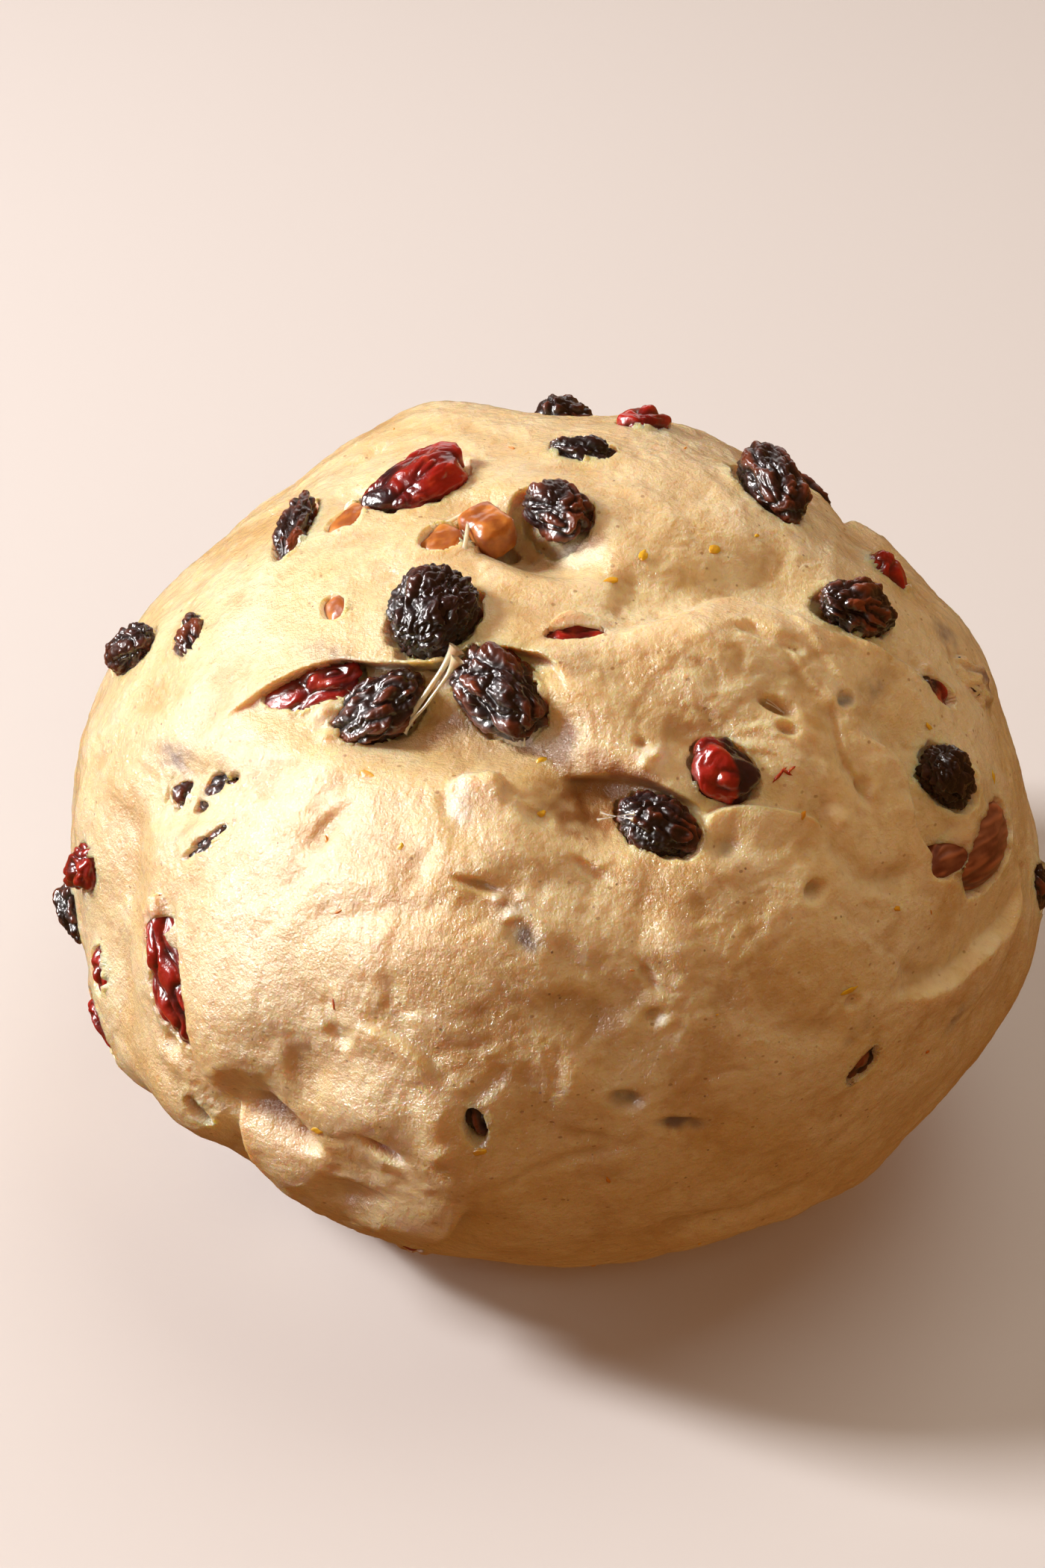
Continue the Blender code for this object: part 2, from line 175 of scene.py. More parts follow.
# The same for pits and dents too small for the part, and for small lumps, whose height counts upward
PITS = (
    (38.4, 44.6, 2.2, 0.9, -50, 2.2),
    (37.6, 41.8, 1.3, 0.7, -40, 1.4),
    (50.4, 41.4, 1.3, 1, 0, 1),
    (13.4, 45, 0.9, 0.6, -30, 1),
    (31.5, 24.5, 1.5, 1, 15, 1.8),
    (-18, -1.5, 2.3, 1, -25, 1.8),
    (-31.5, -3.5, 4.8, 2.4, -15, 2.2),
    (-27.5, -5, 1.8, 1.1, 0, 1),
    (-31, 31.5, 3.6, 1.4, 64, 0.9),
    (-33, 24, 4, 1.4, 66, 0.4),
    (-17.5, 30, 2.4, 1.3, 60, 0.4),
    (-15.5, 37, 2.6, 0.9, -50, 0.5),
    (-3.5, 37, 2.6, 0.8, -30, 0.8),
    (-10, 29.3, 2.4, 0.6, -12, 1.3),
    (-4, 24.5, 2.2, 1.6, -40, 0.8),
    (-25, 13.5, 0.8, 2, 10, 0.3),
    (-23.5, 11, 1.4, 1.3, 0, 0.9),
    (-27.5, 5.5, 2.4, 4, 8, 0.8),
    (-23, -11, 5, 2.2, 14, 0.8),
    (-47, -1, 1.1, 1, 0, 0.6),
    (7, 6, 2, 1.1, -20, 1.1),
    (13, 2.2, 2.6, 0.8, -15, 0.7),
    (10.5, 15, 1, 0.8, 0, 1),
    (10, 19.5, 1.9, 0.7, -60, 0.7),
    (33, 11.5, 1, 0.8, 0, 0.8),
    (45, 32, 1.2, 0.9, 60, 1),
    (22, 31.5, 1.8, 1.1, 0, 0.6),
    (4, 31, 2.2, 0.8, -35, 0.7),
    (2, 16, 5, 3, 0, 0.7),
    (-107, 20, 2.2, 1.2, 40, 1.2),
    (128, 30, 2, 1, -30, 1.4),
    (-170, 10, 2.4, 1.1, 60, 1.4),
    (96, -2, 1.8, 1, 20, 1.2),
)
# Pits scattered over the sides that the photograph doesn't show: how many, between which azimuths and
# sines of the elevation, reach along, reach across as a share of it, and depth as a share of it
LOOSE_PITS = (46, (90, 270), (-0.4, 0.9), (1.2, 4.5), (0.35, 0.7))
LOOSE_PIT_DEPTH = 0.25
LUMPS = (
    (2, 9, 2.4, 5, 10, 1.3),
    (7.5, 14.5, 3.2, 2.2, 20, 0.9),
    (14, 24, 3, 4.6, 0, 0.9),
    (-12.3, 4.6, 2.2, 2.8, 0, 1.1),
    (-11.6, 0.8, 1.8, 1.6, 0, 0.8),
    (-46, -3.2, 3.2, 1.8, -20, 1),
    (-20, 3, 5, 3.4, 0, 0.9),
    (-10, -3, 6, 8, 10, 2.4),
    (-30, -11, 5, 5, 10, 1.6),
    (-38, 3, 5, 6, 0, 1.2),
    (-46, -12, 6, 5, 0, 1.4),
    (-22, -16, 5, 2.4, 10, 1),
    (-36, 11, 5, 6, 0, 0.8),
    (18, 29, 4, 2.4, -10, 0.8),
    (-7.4, 28, 0.8, 0.6, 0, 0.6),
    (-4.4, 28.4, 0.8, 0.6, 0, 0.5),
    (-5.6, 26.4, 0.9, 0.7, 0, 0.8),
    (-20.8, 56, 1.3, 1, 20, 1.9),
    (-41.5, 43.6, 2.6, 1.5, 50, 2.4),
    (-39, 41.2, 1.4, 1, 40, 1.6),
    (15.5, 43.5, 0.8, 0.6, 0, 0.8),
    (13.5, 42.8, 0.7, 0.7, 0, 0.7),
)

# What lies under the dough and tints it by mark, and painted shade by the hollow mark: azimuth, elevation,
# reach along, reach across, turn, and strength, which for a hollow is its depth
STAINS = {
    "dark": (
        (-4, 24.3, 2.6, 1.8, -40, 0.75),
        (-5.5, 26.5, 4, 2.8, -40, 0.35),
        (13, 2.2, 3, 1.1, -15, 0.8),
        (7, 6, 2.2, 1.4, 0, 0.6),
        (85, 33.3, 3.6, 2.6, 40, 0.6),
        (80.5, 27.2, 3.6, 2.2, -100, 0.7),
        (58, 40, 5, 2.2, -10, 0.4),
        (50.4, 41.4, 1.6, 1.2, 0, 0.8),
        (22, 31.5, 2.6, 1.5, 0, 0.4),
        (-61.5, 28.2, 4.4, 2, 20, 0.65),
        (-54, 21.5, 4, 1.4, 48, 0.35),
        (-45, 50.5, 6, 1.8, 14, 0.5),
        (34, 8, 3.4, 1.4, 25, 0.4),
        (50, 1.5, 4.4, 1.4, 25, 0.45),
        # painted shade: a faint darkening where a shaded patch lies
        (2, 16, 6, 4, 0, 0.22),
        (5, 55, 5, 2.6, -20, 0.3),
        (25, 61, 3, 2, 0, 0.25),
        (18, 46, 5, 3, -30, 0.2),
        (19, -6, 6, 3, 10, 0.18),
        (150, 18, 6, 3, 30, 0.3),
        (-140, 10, 5, 3, 0, 0.3),
    ),
    # painted shade: brown darkening in hollows and in places that lie in shade
    "hollow": (
        (4.2, 37.4, 6.2, 4, -18, 5.5),
        (-30, 77, 8, 4.5, -15, 3.6),
        (15, 46, 5, 3.4, -40, 1.5),
        (11, 42, 7, 1.8, -30, 5),
        (-27, 6, 7, 4, 60, 2.6),
    ),
    "red": (
        (-55, 28, 2.4, 1.6, 10, 0.4),
        (-31, 30.5, 3, 1.2, 64, 0.3),
        (57, 19, 6, 4, -12, 0.35),
        (-54, 12, 3, 1.6, -60, 0.4),
        (-62, 20, 3, 2, 0, 0.25),
        (-18, -1.5, 2, 0.9, -25, 0.9),
        (-112, 30, 4, 2, 30, 0.3),
        (112, 20, 4, 2.4, -20, 0.3),
    ),
    "pale": (
        (-7.4, 28, 1, 0.8, 0, 0.7),
        (-4.4, 28.4, 0.9, 0.7, 0, 0.6),
        (-5.6, 26.4, 1.1, 0.9, 0, 0.9),
        (15, 43.2, 3.2, 2, -20, 0.6),
        (-20.8, 56, 1.8, 1.4, 20, 0.8),
        (-41, 43.2, 3, 2, 50, 0.7),
        (-13.6, 38.2, 3.4, 1.7, -84, 1),
        (-10.2, 38.6, 3.4, 2.6, 0, 0.35),
        (-16, -2.4, 2.6, 0.8, -10, 0.5),
        (-11, 0, 2, 2, 0, 0.4),
        (14, 24, 2.6, 3.4, 0, 0.4),
        (2, 12, 3, 1.2, 10, 0.35),
    ),
}

PATCHES = (0.7, 1.6, 1.3)  # how uneven a stain is, the cell of its patches, and its strongest patch

# azimuth, elevation, reach, share: where the dough is rougher than elsewhere
ROUGH_PLACES = (
    (-26, 4, 24, 0.1),
    (12, 18, 18, 0.25),
    (26, 46, 18, 0.4),
    (-160, 10, 30, 0.5),
    (110, 20, 26, 0.4),
)

# azimuth, elevation, reach, turn, width, height: fine ridges that the stretched dough is drawn into
STREAKS = (
    (-36, 22, 26, 62, 1.5, 0.11),
    (46, 44, 24, -42, 1.4, 0.11),
    (32, 4, 30, 12, 1.6, 0.11),
    (-4, -14, 24, 4, 1.8, 0.09),
    (-8, 14, 20, 78, 1.8, 0.09),
    (0, 66, 26, 20, 1.6, 0.07),
    (-70, 40, 24, 40, 1.5, 0.07),
    (88, 12, 28, 40, 1.6, 0.09),
    (150, 24, 34, 20, 1.7, 0.09),
    (-148, 12, 34, -35, 1.7, 0.09),
    (-104, 6, 28, 60, 1.6, 0.09),
    (175, 62, 30, 0, 1.6, 0.08),
    (-4, 31, 15, -10, 3.4, 0.16),
    (22, 24, 14, -42, 3.2, 0.16),
    (-34, 12, 16, 68, 3.4, 0.16),
    (34, 47, 14, -35, 2.8, 0.24),
    (8, 6, 15, 48, 3.6, 0.16),
    (-22, -10, 14, 12, 3.2, 0.16),
    (50, 26, 14, -60, 3, 0.2),
    (-64, 32, 14, 50, 3.2, 0.22),
    (140, 30, 24, 20, 3.4, 0.3),
    (-140, 30, 24, -30, 3.4, 0.3),
)

# Path, lip, drop, reach, width of the step, how far the lip hangs over. The dough is proud on the left of
# the path.
FOLDS = (
    (((-57.5, 34), (-54, 41), (-50, 46.5), (-44, 50.4), (-36, 52.3), (-26, 54.6), (-18, 57.6), (-8, 58),
      (-1, 56), (2, 51)), 1.4, 2.6, 5, 0.9, 1.6),
    (((-36, 70), (-45, 78), (-60, 84), (30, 86), (34, 80), (14, 75)), 0.6, 1.6, 5, 1, 1),
    (((0, 41.5), (3.2, 42.2), (8.6, 42), (13.4, 40.8), (16.6, 39.2), (19.8, 37), (21, 34)),
      1.1, 2.2, 4, 1.5, 0.9),
    (((-50, 17), (-47.5, 13), (-45.4, 9.8), (-43.8, 7), (-42.8, 4), (-42, 0.6), (-40, -2.4), (-37, -7)),
      1, 1.6, 6, 1.6, 0),
    (((-37, -2), (-36, -7), (-35, -13), (-30, -17.5), (-23, -20)), 1, 2.2, 6, 1.6, 1),
    (((-22, -26), (-15, -17), (-12, -13), (-9, -6)), 0.8, 1.8, 6, 1.4, 0.8),
    (((10, -24), (20, -21), (30, -21), (37, -17)), 0.8, 2.2, 7, 1.8, 0.8),
    (((68, 9), (62, 6), (57, 6.5), (50, 6.5), (44, 7.5), (38, 10)), 0.9, 1.5, 5, 1.8, 0.4),
    (((71, 30), (69, 37), (65, 44), (58, 50), (55.5, 56), (51, 60.3), (34, 60.2), (17, 59.8), (8, 58.6)),
      0.8, 0.9, 7, 2.8, 0.3),
    (((60, 56), (55.8, 53.4), (52.8, 49), (52, 44.7), (52.5, 41)), 0.15, 0.35, 3.6, 1.6, 0.1),
    (((46, 56), (45.4, 53), (46.7, 49.6), (46.4, 46), (48, 42)), 0.15, 0.35, 3.6, 1.6, 0.1),
    (((12, 49), (19, 52.5), (27, 55), (36, 56), (46, 55)), 0.1, 0.3, 3.4, 2, 0.2),
    (((56, 13), (52, 19), (50, 25), (53, 32), (47, 39)), 0.8, 1.6, 6, 2.2, 0.4),
    (((37, 29), (35, 31.5), (31, 33.6), (26, 35.3), (21.5, 35.2), (18.5, 33)), 0.7, 0.8, 3.2, 1, 0.5),
    (((-12, 9), (-16, 12), (-22, 13.5)), 0.5, 0.6, 3, 1.2, 0.3),
    (((48, 42), (47, 40), (44.8, 36.4), (44.8, 32), (44.5, 28)), 0.3, 0.6, 2.4, 1, 0.2),
    (((140, -10), (132, 8), (126, 20), (128, 32)), 1.4, 2.8, 9, 1.6, 1),
    (((-176, 38), (168, 34), (152, 34), (140, 24)), 1, 2.2, 7, 1.4, 1),
    (((-168, -14), (-156, 4), (-160, 24), (-172, 38)), 1.4, 2.8, 9, 1.6, 1),
    (((-104, -18), (-116, 0), (-122, 16), (-134, 26)), 1.2, 2.4, 8, 1.8, 0.8),
)

# Path, depth, half width
CREASES = (
    (((19, 70), (35, 66), (57, 61), (76, 50)), 1.6, 5),
    (((-12, 29), (-8, 28), (0, 30), (10, 29)), 0.8, 3),
    (((48.5, 42.5), (45.5, 37), (45.2, 31)), 0.9, 2.2),
    (((40.5, 40), (37.5, 34), (35, 28)), 0.5, 1.2),
    (((39, 57), (44, 53), (48, 50), (50, 48)), 0.6, 0.7),
    (((43, 56), (47, 52), (52, 49)), 0.5, 0.6),
    (((36, 30), (37, 26), (39, 23), (43.5, 21.5), (48, 21)), 1, 1.5),
    (((40, 13.5), (42.5, 10.5), (46, 8.5), (50, 8)), 0.5, 0.9),
    (((-7, -5), (-4, -3), (0, -1.5), (5, -0.5), (9, -0.5)), 0.5, 0.8),
    (((1, 2.5), (5, 1), (9, -0.5)), 0.4, 0.8),
    (((-5, 11), (-7.5, 8), (-9.5, 6)), 0.5, 0.9),
    (((-10, 29), (-16, 26), (-24, 24), (-30, 20)), 0.5, 1.6),
    (((14, 19), (20, 14), (27, 10), (34, 9)), 0.5, 1.8),
    (((-3, 24), (3, 21), (8, 17), (12, 11)), 0.7, 1.6),
    (((-19, 20), (-17, 15), (-18, 11)), 0.5, 1.6),
    (((12, -17), (18, -16.5), (25, -15.5), (33, -14)), 0.9, 2.2),
    (((-68, 22), (-62, 14), (-60, 4), (-58, -8)), 1.4, 5),
    (((176, 20), (-176, 4), (178, -12)), 1.8, 5),
    (((104, 28), (98, 12), (102, -4)), 1.2, 5),
)

# name, azimuth, elevation, length, width, thickness, turn, and how far its middle stands above the
# smooth ball
FRUIT_ROWS = (
    ("raisin_top", -31, 59.6, 13, 12, 10.5, 84, 1.5),
    ("raisin_centre_right", -10.8, 51.6, 14.4, 9.8, 8.4, -36, -1),
    ("raisin_centre_left", -34.5, 46, 14, 8.5, 7, 50, -3.2),
    ("cranberry_centre", -48.5, 44.6, 15.5, 7.5, 4.5, 50, -2.2),
    ("cranberry_top", -97, 71.4, 15.5, 10.5, 6.5, 131, 0.6),
    ("raisin_upper_left", -88, 54.8, 14.5, 4.8, 5, 167, 0.6),
    ("apricot_front", -44, 76.6, 8, 6.4, 6, -10, -1.4),
    ("apricot_rear", -53, 70.8, 6.5, 5.5, 5, 99, -2),
    ("raisin_upper_right", 1, 82.4, 10.5, 7.6, 7.5, -48, 0),
    ("raisin_top_rear", 157, 80, 9.5, 6, 6, -170, -0.6),
    ("cranberry_crest", 152, 62, 9, 6, 5, -102, -0.6),
    ("raisin_crest", 104, 60, 16, 8.5, 8, -172, 1.4),
    ("raisin_left_small", -77, 38, 8, 6, 5, 0, -0.4),
    ("raisin_left_edge", -88, 28, 12, 7, 6.5, 59, 0.4),
    ("cranberry_slit", 4, 60, 9, 6, 4, 6, -1.6),
    ("raisin_right", 71.5, 46.8, 13, 8.5, 7.5, -50, -0.2),
    ("cranberry_right_rear", 93, 42, 8, 6, 5, -81, -1.8),
    ("cranberry_right", 71.3, 33, 8.5, 5.5, 4.5, -67, -2.3),
    ("raisin_right_dark", 80.5, 27.4, 8.5, 6.5, 6, -107, -2),
    ("raisin_black", 59.6, 26.4, 9.5, 8, 6.5, -81, 0.2),
    ("cranberry_mid", 25.5, 39.5, 10, 8, 7, -43, -1),
    ("raisin_mid", 14.5, 35, 10.5, 8, 7.5, -37, -2.6),
    ("almond_right", 59.8, 17, 21, 12, 8, 168, -2.6),
    ("cranberry_left", -48.4, 6, 21, 11, 7.5, -62, -2.9),
    ("raisin_left_low", -79, -4.5, 9, 7, 6, -40, 0.2),
    ("cranberry_left_edge", -72.5, 6, 9.5, 6, 5, 52, -0.4),
    ("cranberry_low_front", -65.5, -3.5, 7.5, 4.6, 4, -70, -1.2),
    ("cranberry_low_rear", -66, -12, 11, 6, 5, -45, 0.6),
    ("raisin_web_left", -59.4, 25, 9, 6, 5, -10, -3.9),
    ("raisin_web_right", -52.6, 27.6, 10, 6, 5, 60, -4.2),
    ("raisin_slit_left", -48, 23.4, 10, 5.5, 4.5, 55, -2.3),
    ("raisin_low", -8, 4.2, 9, 7, 6, -80, -1),
    ("raisin_slit_right", 35, 3, 9, 6, 5, 30, -2.2),
    ("raisin_under_left", -43, -8, 8, 5.5, 5, -46, -1.2),
    ("cranberry_foot", -19, -27, 6, 5, 4, 0, -1.4),
    ("pale_chip", -11.8, 38.2, 7.8, 7.6, 5.4, -80, -2),
    ("peel_small", -53.6, 54.4, 4.6, 3.6, 3, -20, 0),
    ("peel_top", -84, 62, 7.5, 5, 4, 132, -0.8),
    ("raisin_edge_right", 73, 3, 8, 6, 5, -85, 0),
    ("raisin_back_upper", 142, 25, 13, 9, 8, 20, -1.6),
    ("raisin_back_high", 178, 36, 12, 10, 8, 70, -1),
    ("cranberry_back_left", -148, 27, 15, 8, 6, -40, -2),
    ("almond_back", 156, 8, 20, 12, 7, 35, 0),
    ("cranberry_back_right", 121, 8, 13, 8, 6, -60, -1.2),
    ("raisin_back_left", -126, 4, 12, 8, 7, 10, -1),
    ("raisin_back_low", -172, -3, 10, 8, 7, -20, 0),
    ("raisin_right_low", 100, -7, 10, 7, 6, 60, -1.6),
    ("cranberry_back_high", -163, 31, 12, 7, 6, 80, -1.4),
    ("raisin_back_foot", -142, -13, 9, 7, 6, 45, -0.6),
    ("apricot_back", 174, 16, 9, 7, 6, 25, -1.2),
    ("raisin_right_foot", 122, -15, 9, 7, 6, 0, -0.8),
    ("raisin_left_rear", -104, -4, 11, 7, 6, -45, -0.8),
)
FIRST_HIDDEN = 39  # from here on the table holds fruit of the sides that the photograph doesn't show

# The first word of a fruit's name is its kind, apart from these
KINDS = {"peel": "apricot", "pale": "pale_fruit"}
Fruit = namedtuple("Fruit", "name kind azimuth elevation length width thickness turn stand")

# Fruit whose folds are broader or finer than the rest, by how much
FOLD_SCALE = {
    "raisin_centre_right": 1.2,
    "raisin_centre_left": 1.1,
    "raisin_mid": 0.85,
    "raisin_crest": 1.3,
    "raisin_upper_left": 1.2,
    "raisin_upper_right": 1.1,
    "raisin_right": 0.95,
    "raisin_top": 0.8,
    "raisin_black": 0.75,
    "cranberry_top": 1.7,
    "cranberry_mid": 1.5,
}
# How far each raisin is red-brown rather than black
WARMTH = {
    "raisin_centre_right": 0.55,
    "raisin_centre_left": 0.6,
    "raisin_upper_right": 0.5,
    "raisin_upper_left": 0.8,
    "raisin_mid": 0.65,
    "raisin_right": 0.7,
    "raisin_top": 0.2,
    "raisin_black": -0.3,
    "raisin_web_left": 0.5,
    "raisin_web_right": 0.3,
    "raisin_right_dark": 0.1,
}
USUAL_WARMTH = 0.5
WARMTH_RELIEF = (0.35, 4.0)  # how much the warmth varies over a fruit, and the cell
DUSK_RELIEF = (0.3, 3.0)
USUAL_DUSK = 0.5
# How a fruit darkens, along its own length and along its width
DUSK = {
    "cranberry_mid": (1.6, 1.2),
    "cranberry_left": (0.0, 0.15),
    "cranberry_top": (-0.3, 0.2),
    "cranberry_right": (-0.6, 0.0),
}

# Where the dough leaves a fruit bare: azimuth, elevation, half length, half width, turn. Any fruit that
# isn't listed is bare over its own outline. One with no windows shows where it is higher than the dough,
# and not at all if it is buried.
WINDOWS = {
    "raisin_centre_right": (),
    "raisin_centre_left": (),
    "cranberry_centre": (),
    "cranberry_left": ((-47.3, 5.6, 7.8, 4.3, -58), (-50.8, 12, 2.6, 1.2, 40)),
    "almond_right": ((61.6, 16.2, 8.2, 4.6, 12), (52.6, 19.2, 3.8, 2.2, -14)),
    "raisin_web_left": ((-57.3, 25.3, 2.2, 1.3, 98), (-60.2, 24.4, 2.2, 0.5, 105)),
    "raisin_web_right": ((-52.2, 29.4, 2.2, 1.5, 46), (-49.6, 31.2, 1.6, 0.8, 40), (-52.8, 26, 2, 0.9, 34)),
    "raisin_slit_left": ((-49.6, 21.6, 1.7, 0.6, 50), (-48.2, 23.4, 2, 1, 36), (-46.9, 25.4, 2.2, 0.6, 56)),
    "cranberry_slit": ((4, 60, 4.2, 1.2, 4),),
    "cranberry_right": ((70.6, 32.9, 3.4, 1.8, -65),),
    "raisin_right_dark": (),
    "raisin_slit_right": ((34.4, 2.8, 3.2, 1.7, 32),),
    "pale_chip": (),
    "raisin_low": ((-8.4, 3.8, 2.8, 1.4, -78),),
    "raisin_under_left": ((-43, -8.4, 2.6, 1.1, -46),),
    "cranberry_foot": ((-19, -27, 1.6, 0.8, 0),),
}

# Fruit that dough covers although it stands higher than the dough round it
BURIED = (
    "pale_chip", "raisin_low", "raisin_slit_right", "raisin_under_left", "almond_right", "cranberry_left",
    "cranberry_slit", "cranberry_right", "cranberry_foot", "raisin_right_dark", "raisin_web_left",
    "raisin_web_right", "raisin_slit_left",
)

# How dough and fruit meet, in millimetres
EDGE_PULL = 0.5 * 0.32  # dough points this near a window's edge are slid onto it
SINK = 1.6  # how far below a bare fruit's skin the dough runs
MOAT = 1.1  # depth of the gap round a fruit that stands free
SKIN = 0.55  # least dough over a fruit that is covered
CLIMB = 0.5  # a fruit that isn't buried breaks through the dough where it stands higher than this
LOOSE_CLIMB = 0.1  # the same for a fruit that lies loose
OVERREACH = 1.8  # as far as this outside its window
COLLAR = 0.25  # height of the dough's lip round a window
DRAPE = 0.5  # how gently dough swells over a fruit that it covers
EDGE_SLACK = 0.02  # a point on a window's edge counts as outside it
EDGE_PROBE = 0.05  # how far the slope of a window's edge is felt
FLATTEST_EDGE = 0.25
EDGE_RAGGED = (0.11, 1.8)  # how ragged a window's edge is, as a share of the window, and the cell
THINNING = 1.5  # the dough over a fruit thins this near a window
EDGE_COVER = 0.3  # to this share of its least thickness
LIP_START = 0.3
LIP_REACH = 1.0
FRUIT_MARGIN = 8.0  # how far past its half length a fruit can change the dough
RAY_START = 110.0
RAY_LENGTH = 80.0
FREE_BARE = 1.04  # share of its own outline over which a fruit that stands free is bare
SUNK_BARE = 0.96

# How a fruit's colour shines through the dough over it
SHINE = 0.7
LOOSE_SHINE = 0.2
SHINE_DEPTH = 0.7
NO_SHINE_HOLLOW = 3.0  # nothing shines through in a hollow as deep as this
HALO = 0.30
HALO_REACH = 0.35
SHINE_MARKS = {"raisin": "dark", "cranberry": "red", "almond": "red"}

# Strands: azimuth, elevation and height over the ball of each end, sag, and radius at the ends and middle
STRANDS = (
    ((-21, 55.4, 2.6), (-28.6, 46.2, -3.4), 0.2, 1.2, 0.34),
    ((-20, 54.2, 2.2), (-28.6, 45, -3.6), 0.7, 1, 0.2),
    ((-5.5, 48, 0.8), (-6, 45.6, -3), 0.1, 0.22, 0.1),
    ((5.5, 36.4, -1.6), (10.5, 36.8, 0.6), -0.1, 0.3, 0.05),
    ((6, 37.2, -1.6), (10.2, 36.2, 0.8), 0, 0.3, 0.05),
    ((-62, 73, -0.6), (-48, 79.6, 0.2), -0.9, 0.5, 0.24),
    ((-40, 70.8, -0.8), (-56, 76.5, 0.4), -1, 0.6, 0.28),
    ((37.4, 45.6, 0), (39.4, 43.8, -0.2), -0.1, 0.14, 0.06),
    ((38, 45.9, 0), (39.8, 43.4, -0.3), -0.1, 0.14, 0.06),
)
STRAND_SIDES = 8
STRAND_STEPS = 36
STRAND_WAVER = (0.12, 3.0)  # how far a strand wavers, and the cell
STRAND_FLARE = 5  # the higher, the shorter the flares at a strand's ends
STRAND_FLATNESS = 0.6

# Flakes of peel in the dough: azimuth, elevation, length, width, turn, colour mark (0 yellow, 1 red-brown)
FLAKES = (
    (-28.6, 38.3, 2.3, 1.3, -8, 0.2),
    (-20.4, 31.8, 1.3, 0.9, 70, 0),
    (-24.4, 14.3, 2, 0.5, -75, 0.8),
    (-25.9, -2.3, 2.4, 1.2, 20, 0.1),
    (-2.8, 37.2, 1.6, 1, 20, 0.1),
    (-8, 1, 2.4, 1.1, 20, 0.1),
    (33, 13, 2.8, 0.9, 6, 0.1),
    (33.4, 37.4, 3, 0.45, 25, 1),
    (34.6, 36.9, 2.2, 0.45, -50, 1),
    (35.2, 37.5, 1.8, 0.4, 15, 1),
    (64, 66, 2.6, 1.5, 0, 0.15),
    (38, 71, 2, 1.2, 30, 0.1),
    (69, 20.8, 2.2, 1.2, 60, 0.1),
    (-3, 44, 1.8, 1, 20, 0.1),
    (20, 69, 2, 1, 0, 0.2),
)
# The same for flakes scattered over the whole ball, and their colour marks
LOOSE_FLAKES = (32, (-180, 180), (-0.5, 0.98), (0.6, 1.6), (0.3, 0.7))
LOOSE_FLAKE_TINTS = (0, 0.7)
FLAKE_HALF_THICKNESS = 0.25
FLAKE_SQUARES = 7
FLAKE_RAGGED = (0.3, 1.3)  # how ragged a flake is, and how many ragged places it has
FLAKE_HEIGHT = 0.07  # how far a flake stands out of the dough
FLAKE_SINK = 0.2  # and how far its middle lies below that

# Lamps: name, azimuth, elevation, distance in metres, width and height in metres, power, colour, and what
# it leaves out: the softboxes have no reflection, and of the windows only the reflection shows
LIGHTS = (
    ("key", -96, 35, 1.2, (0.22, 0.22), 21, (1, 0.95, 0.97), None),
    ("front_softbox", 20, 42, 1.3, (0.5, 0.5), 2.1, (1, 0.86, 0.68), "visible_glossy"),
    ("top_softbox", 130, 64, 1.3, (1, 1), 5.7, (0.98, 1, 0.96), "visible_glossy"),
    ("left_window", -72, 22, 1.2, (0.22, 0.6), 34, (1, 0.98, 0.95), "visible_diffuse"),
    ("back_window", 176, 24, 1.4, (1.2, 0.5), 3, (1, 1, 1), "visible_diffuse"),
)
FLOOR_SIZE = 6.0
FLOOR_COLOUR = (0.63, 0.61, 0.575, 1)
AMBIENT_LIGHT = (0.220, 0.084, 0.020, 1)
BACKDROP = (0.62, 0.54, 0.47, 1)

CAMERA_LENS = 70.0
CAMERA_SENSOR = 36.0
CAMERA_PLACE = (-0.0036, -0.3504, 0.300)
CAMERA_LOOKS_DOWN = 35.5


def smooth(share):
    """0 to 1 as share runs from 0 to 1, level at both ends."""
    share = np.clip(share, 0.0, 1.0)
    return share * share * (3.0 - 2.0 * share)


def direction(azimuth, elevation):
    """Unit vector from the heart of the ball."""
    az, el = math.radians(azimuth), math.radians(elevation)
    return np.array([math.sin(az) * math.cos(el), -math.cos(az) * math.cos(el), math.sin(el)])


def tangents(azimuth, elevation, turn):
    """Unit vectors along the surface: one turned from level towards the top by turn, and one across it."""
    az, el, by = math.radians(azimuth), math.radians(elevation), math.radians(turn)
    level = np.array([math.cos(az), math.sin(az), 0.0])
    upward = np.array([-math.sin(az) * math.sin(el), math.cos(az) * math.sin(el), math.cos(el)])
    return level * math.cos(by) + upward * math.sin(by), upward * math.cos(by) - level * math.sin(by)


def unit(vectors):
    return vectors / np.linalg.norm(vectors, axis=1)[:, None]


# Noise

GRADIENTS = unit(np.random.default_rng(GRADIENT_SEED).normal(size=(64, 3)))


def cell_numbers(cells, seed):
    """A repeatable random whole number for each cell of a lattice."""
    cells = cells.astype(np.uint32)
    mixed = cells[:, 0] * np.uint32(73856093) ^ cells[:, 1] * np.uint32(19349663)
    mixed ^= cells[:, 2] * np.uint32(83492791) ^ np.uint32(seed * 2654435 + 97)
    mixed ^= mixed >> np.uint32(13)
    mixed *= np.uint32(1274126177)
    return (mixed ^ (mixed >> np.uint32(16))) % np.uint32(len(GRADIENTS))


def noise(points, cell, seed):
    """Smooth random relief, mostly between -1 and 1, whose swellings are about a cell wide."""
    spots = points / cell
    low = np.floor(spots)
    part = spots - low
    low = low.astype(np.int64)
    blend = part**3 * (part * (part * 6.0 - 15.0) + 10.0)
    total = np.zeros(len(points))
    for corner in itertools.product((0, 1), repeat=3):
        reach = ((part - corner) * GRADIENTS[cell_numbers(low + corner, seed)]).sum(axis=1)
        total += reach * np.prod(np.where(corner, blend, 1.0 - blend), axis=1)
    return total * 1.7


def noise_shift(points, cell, seed):
    """The same as three numbers, to bend what is read from points."""
    return np.column_stack([noise(points, cell, seed + part) for part in (101, 202, 303)])


# The form of the dough


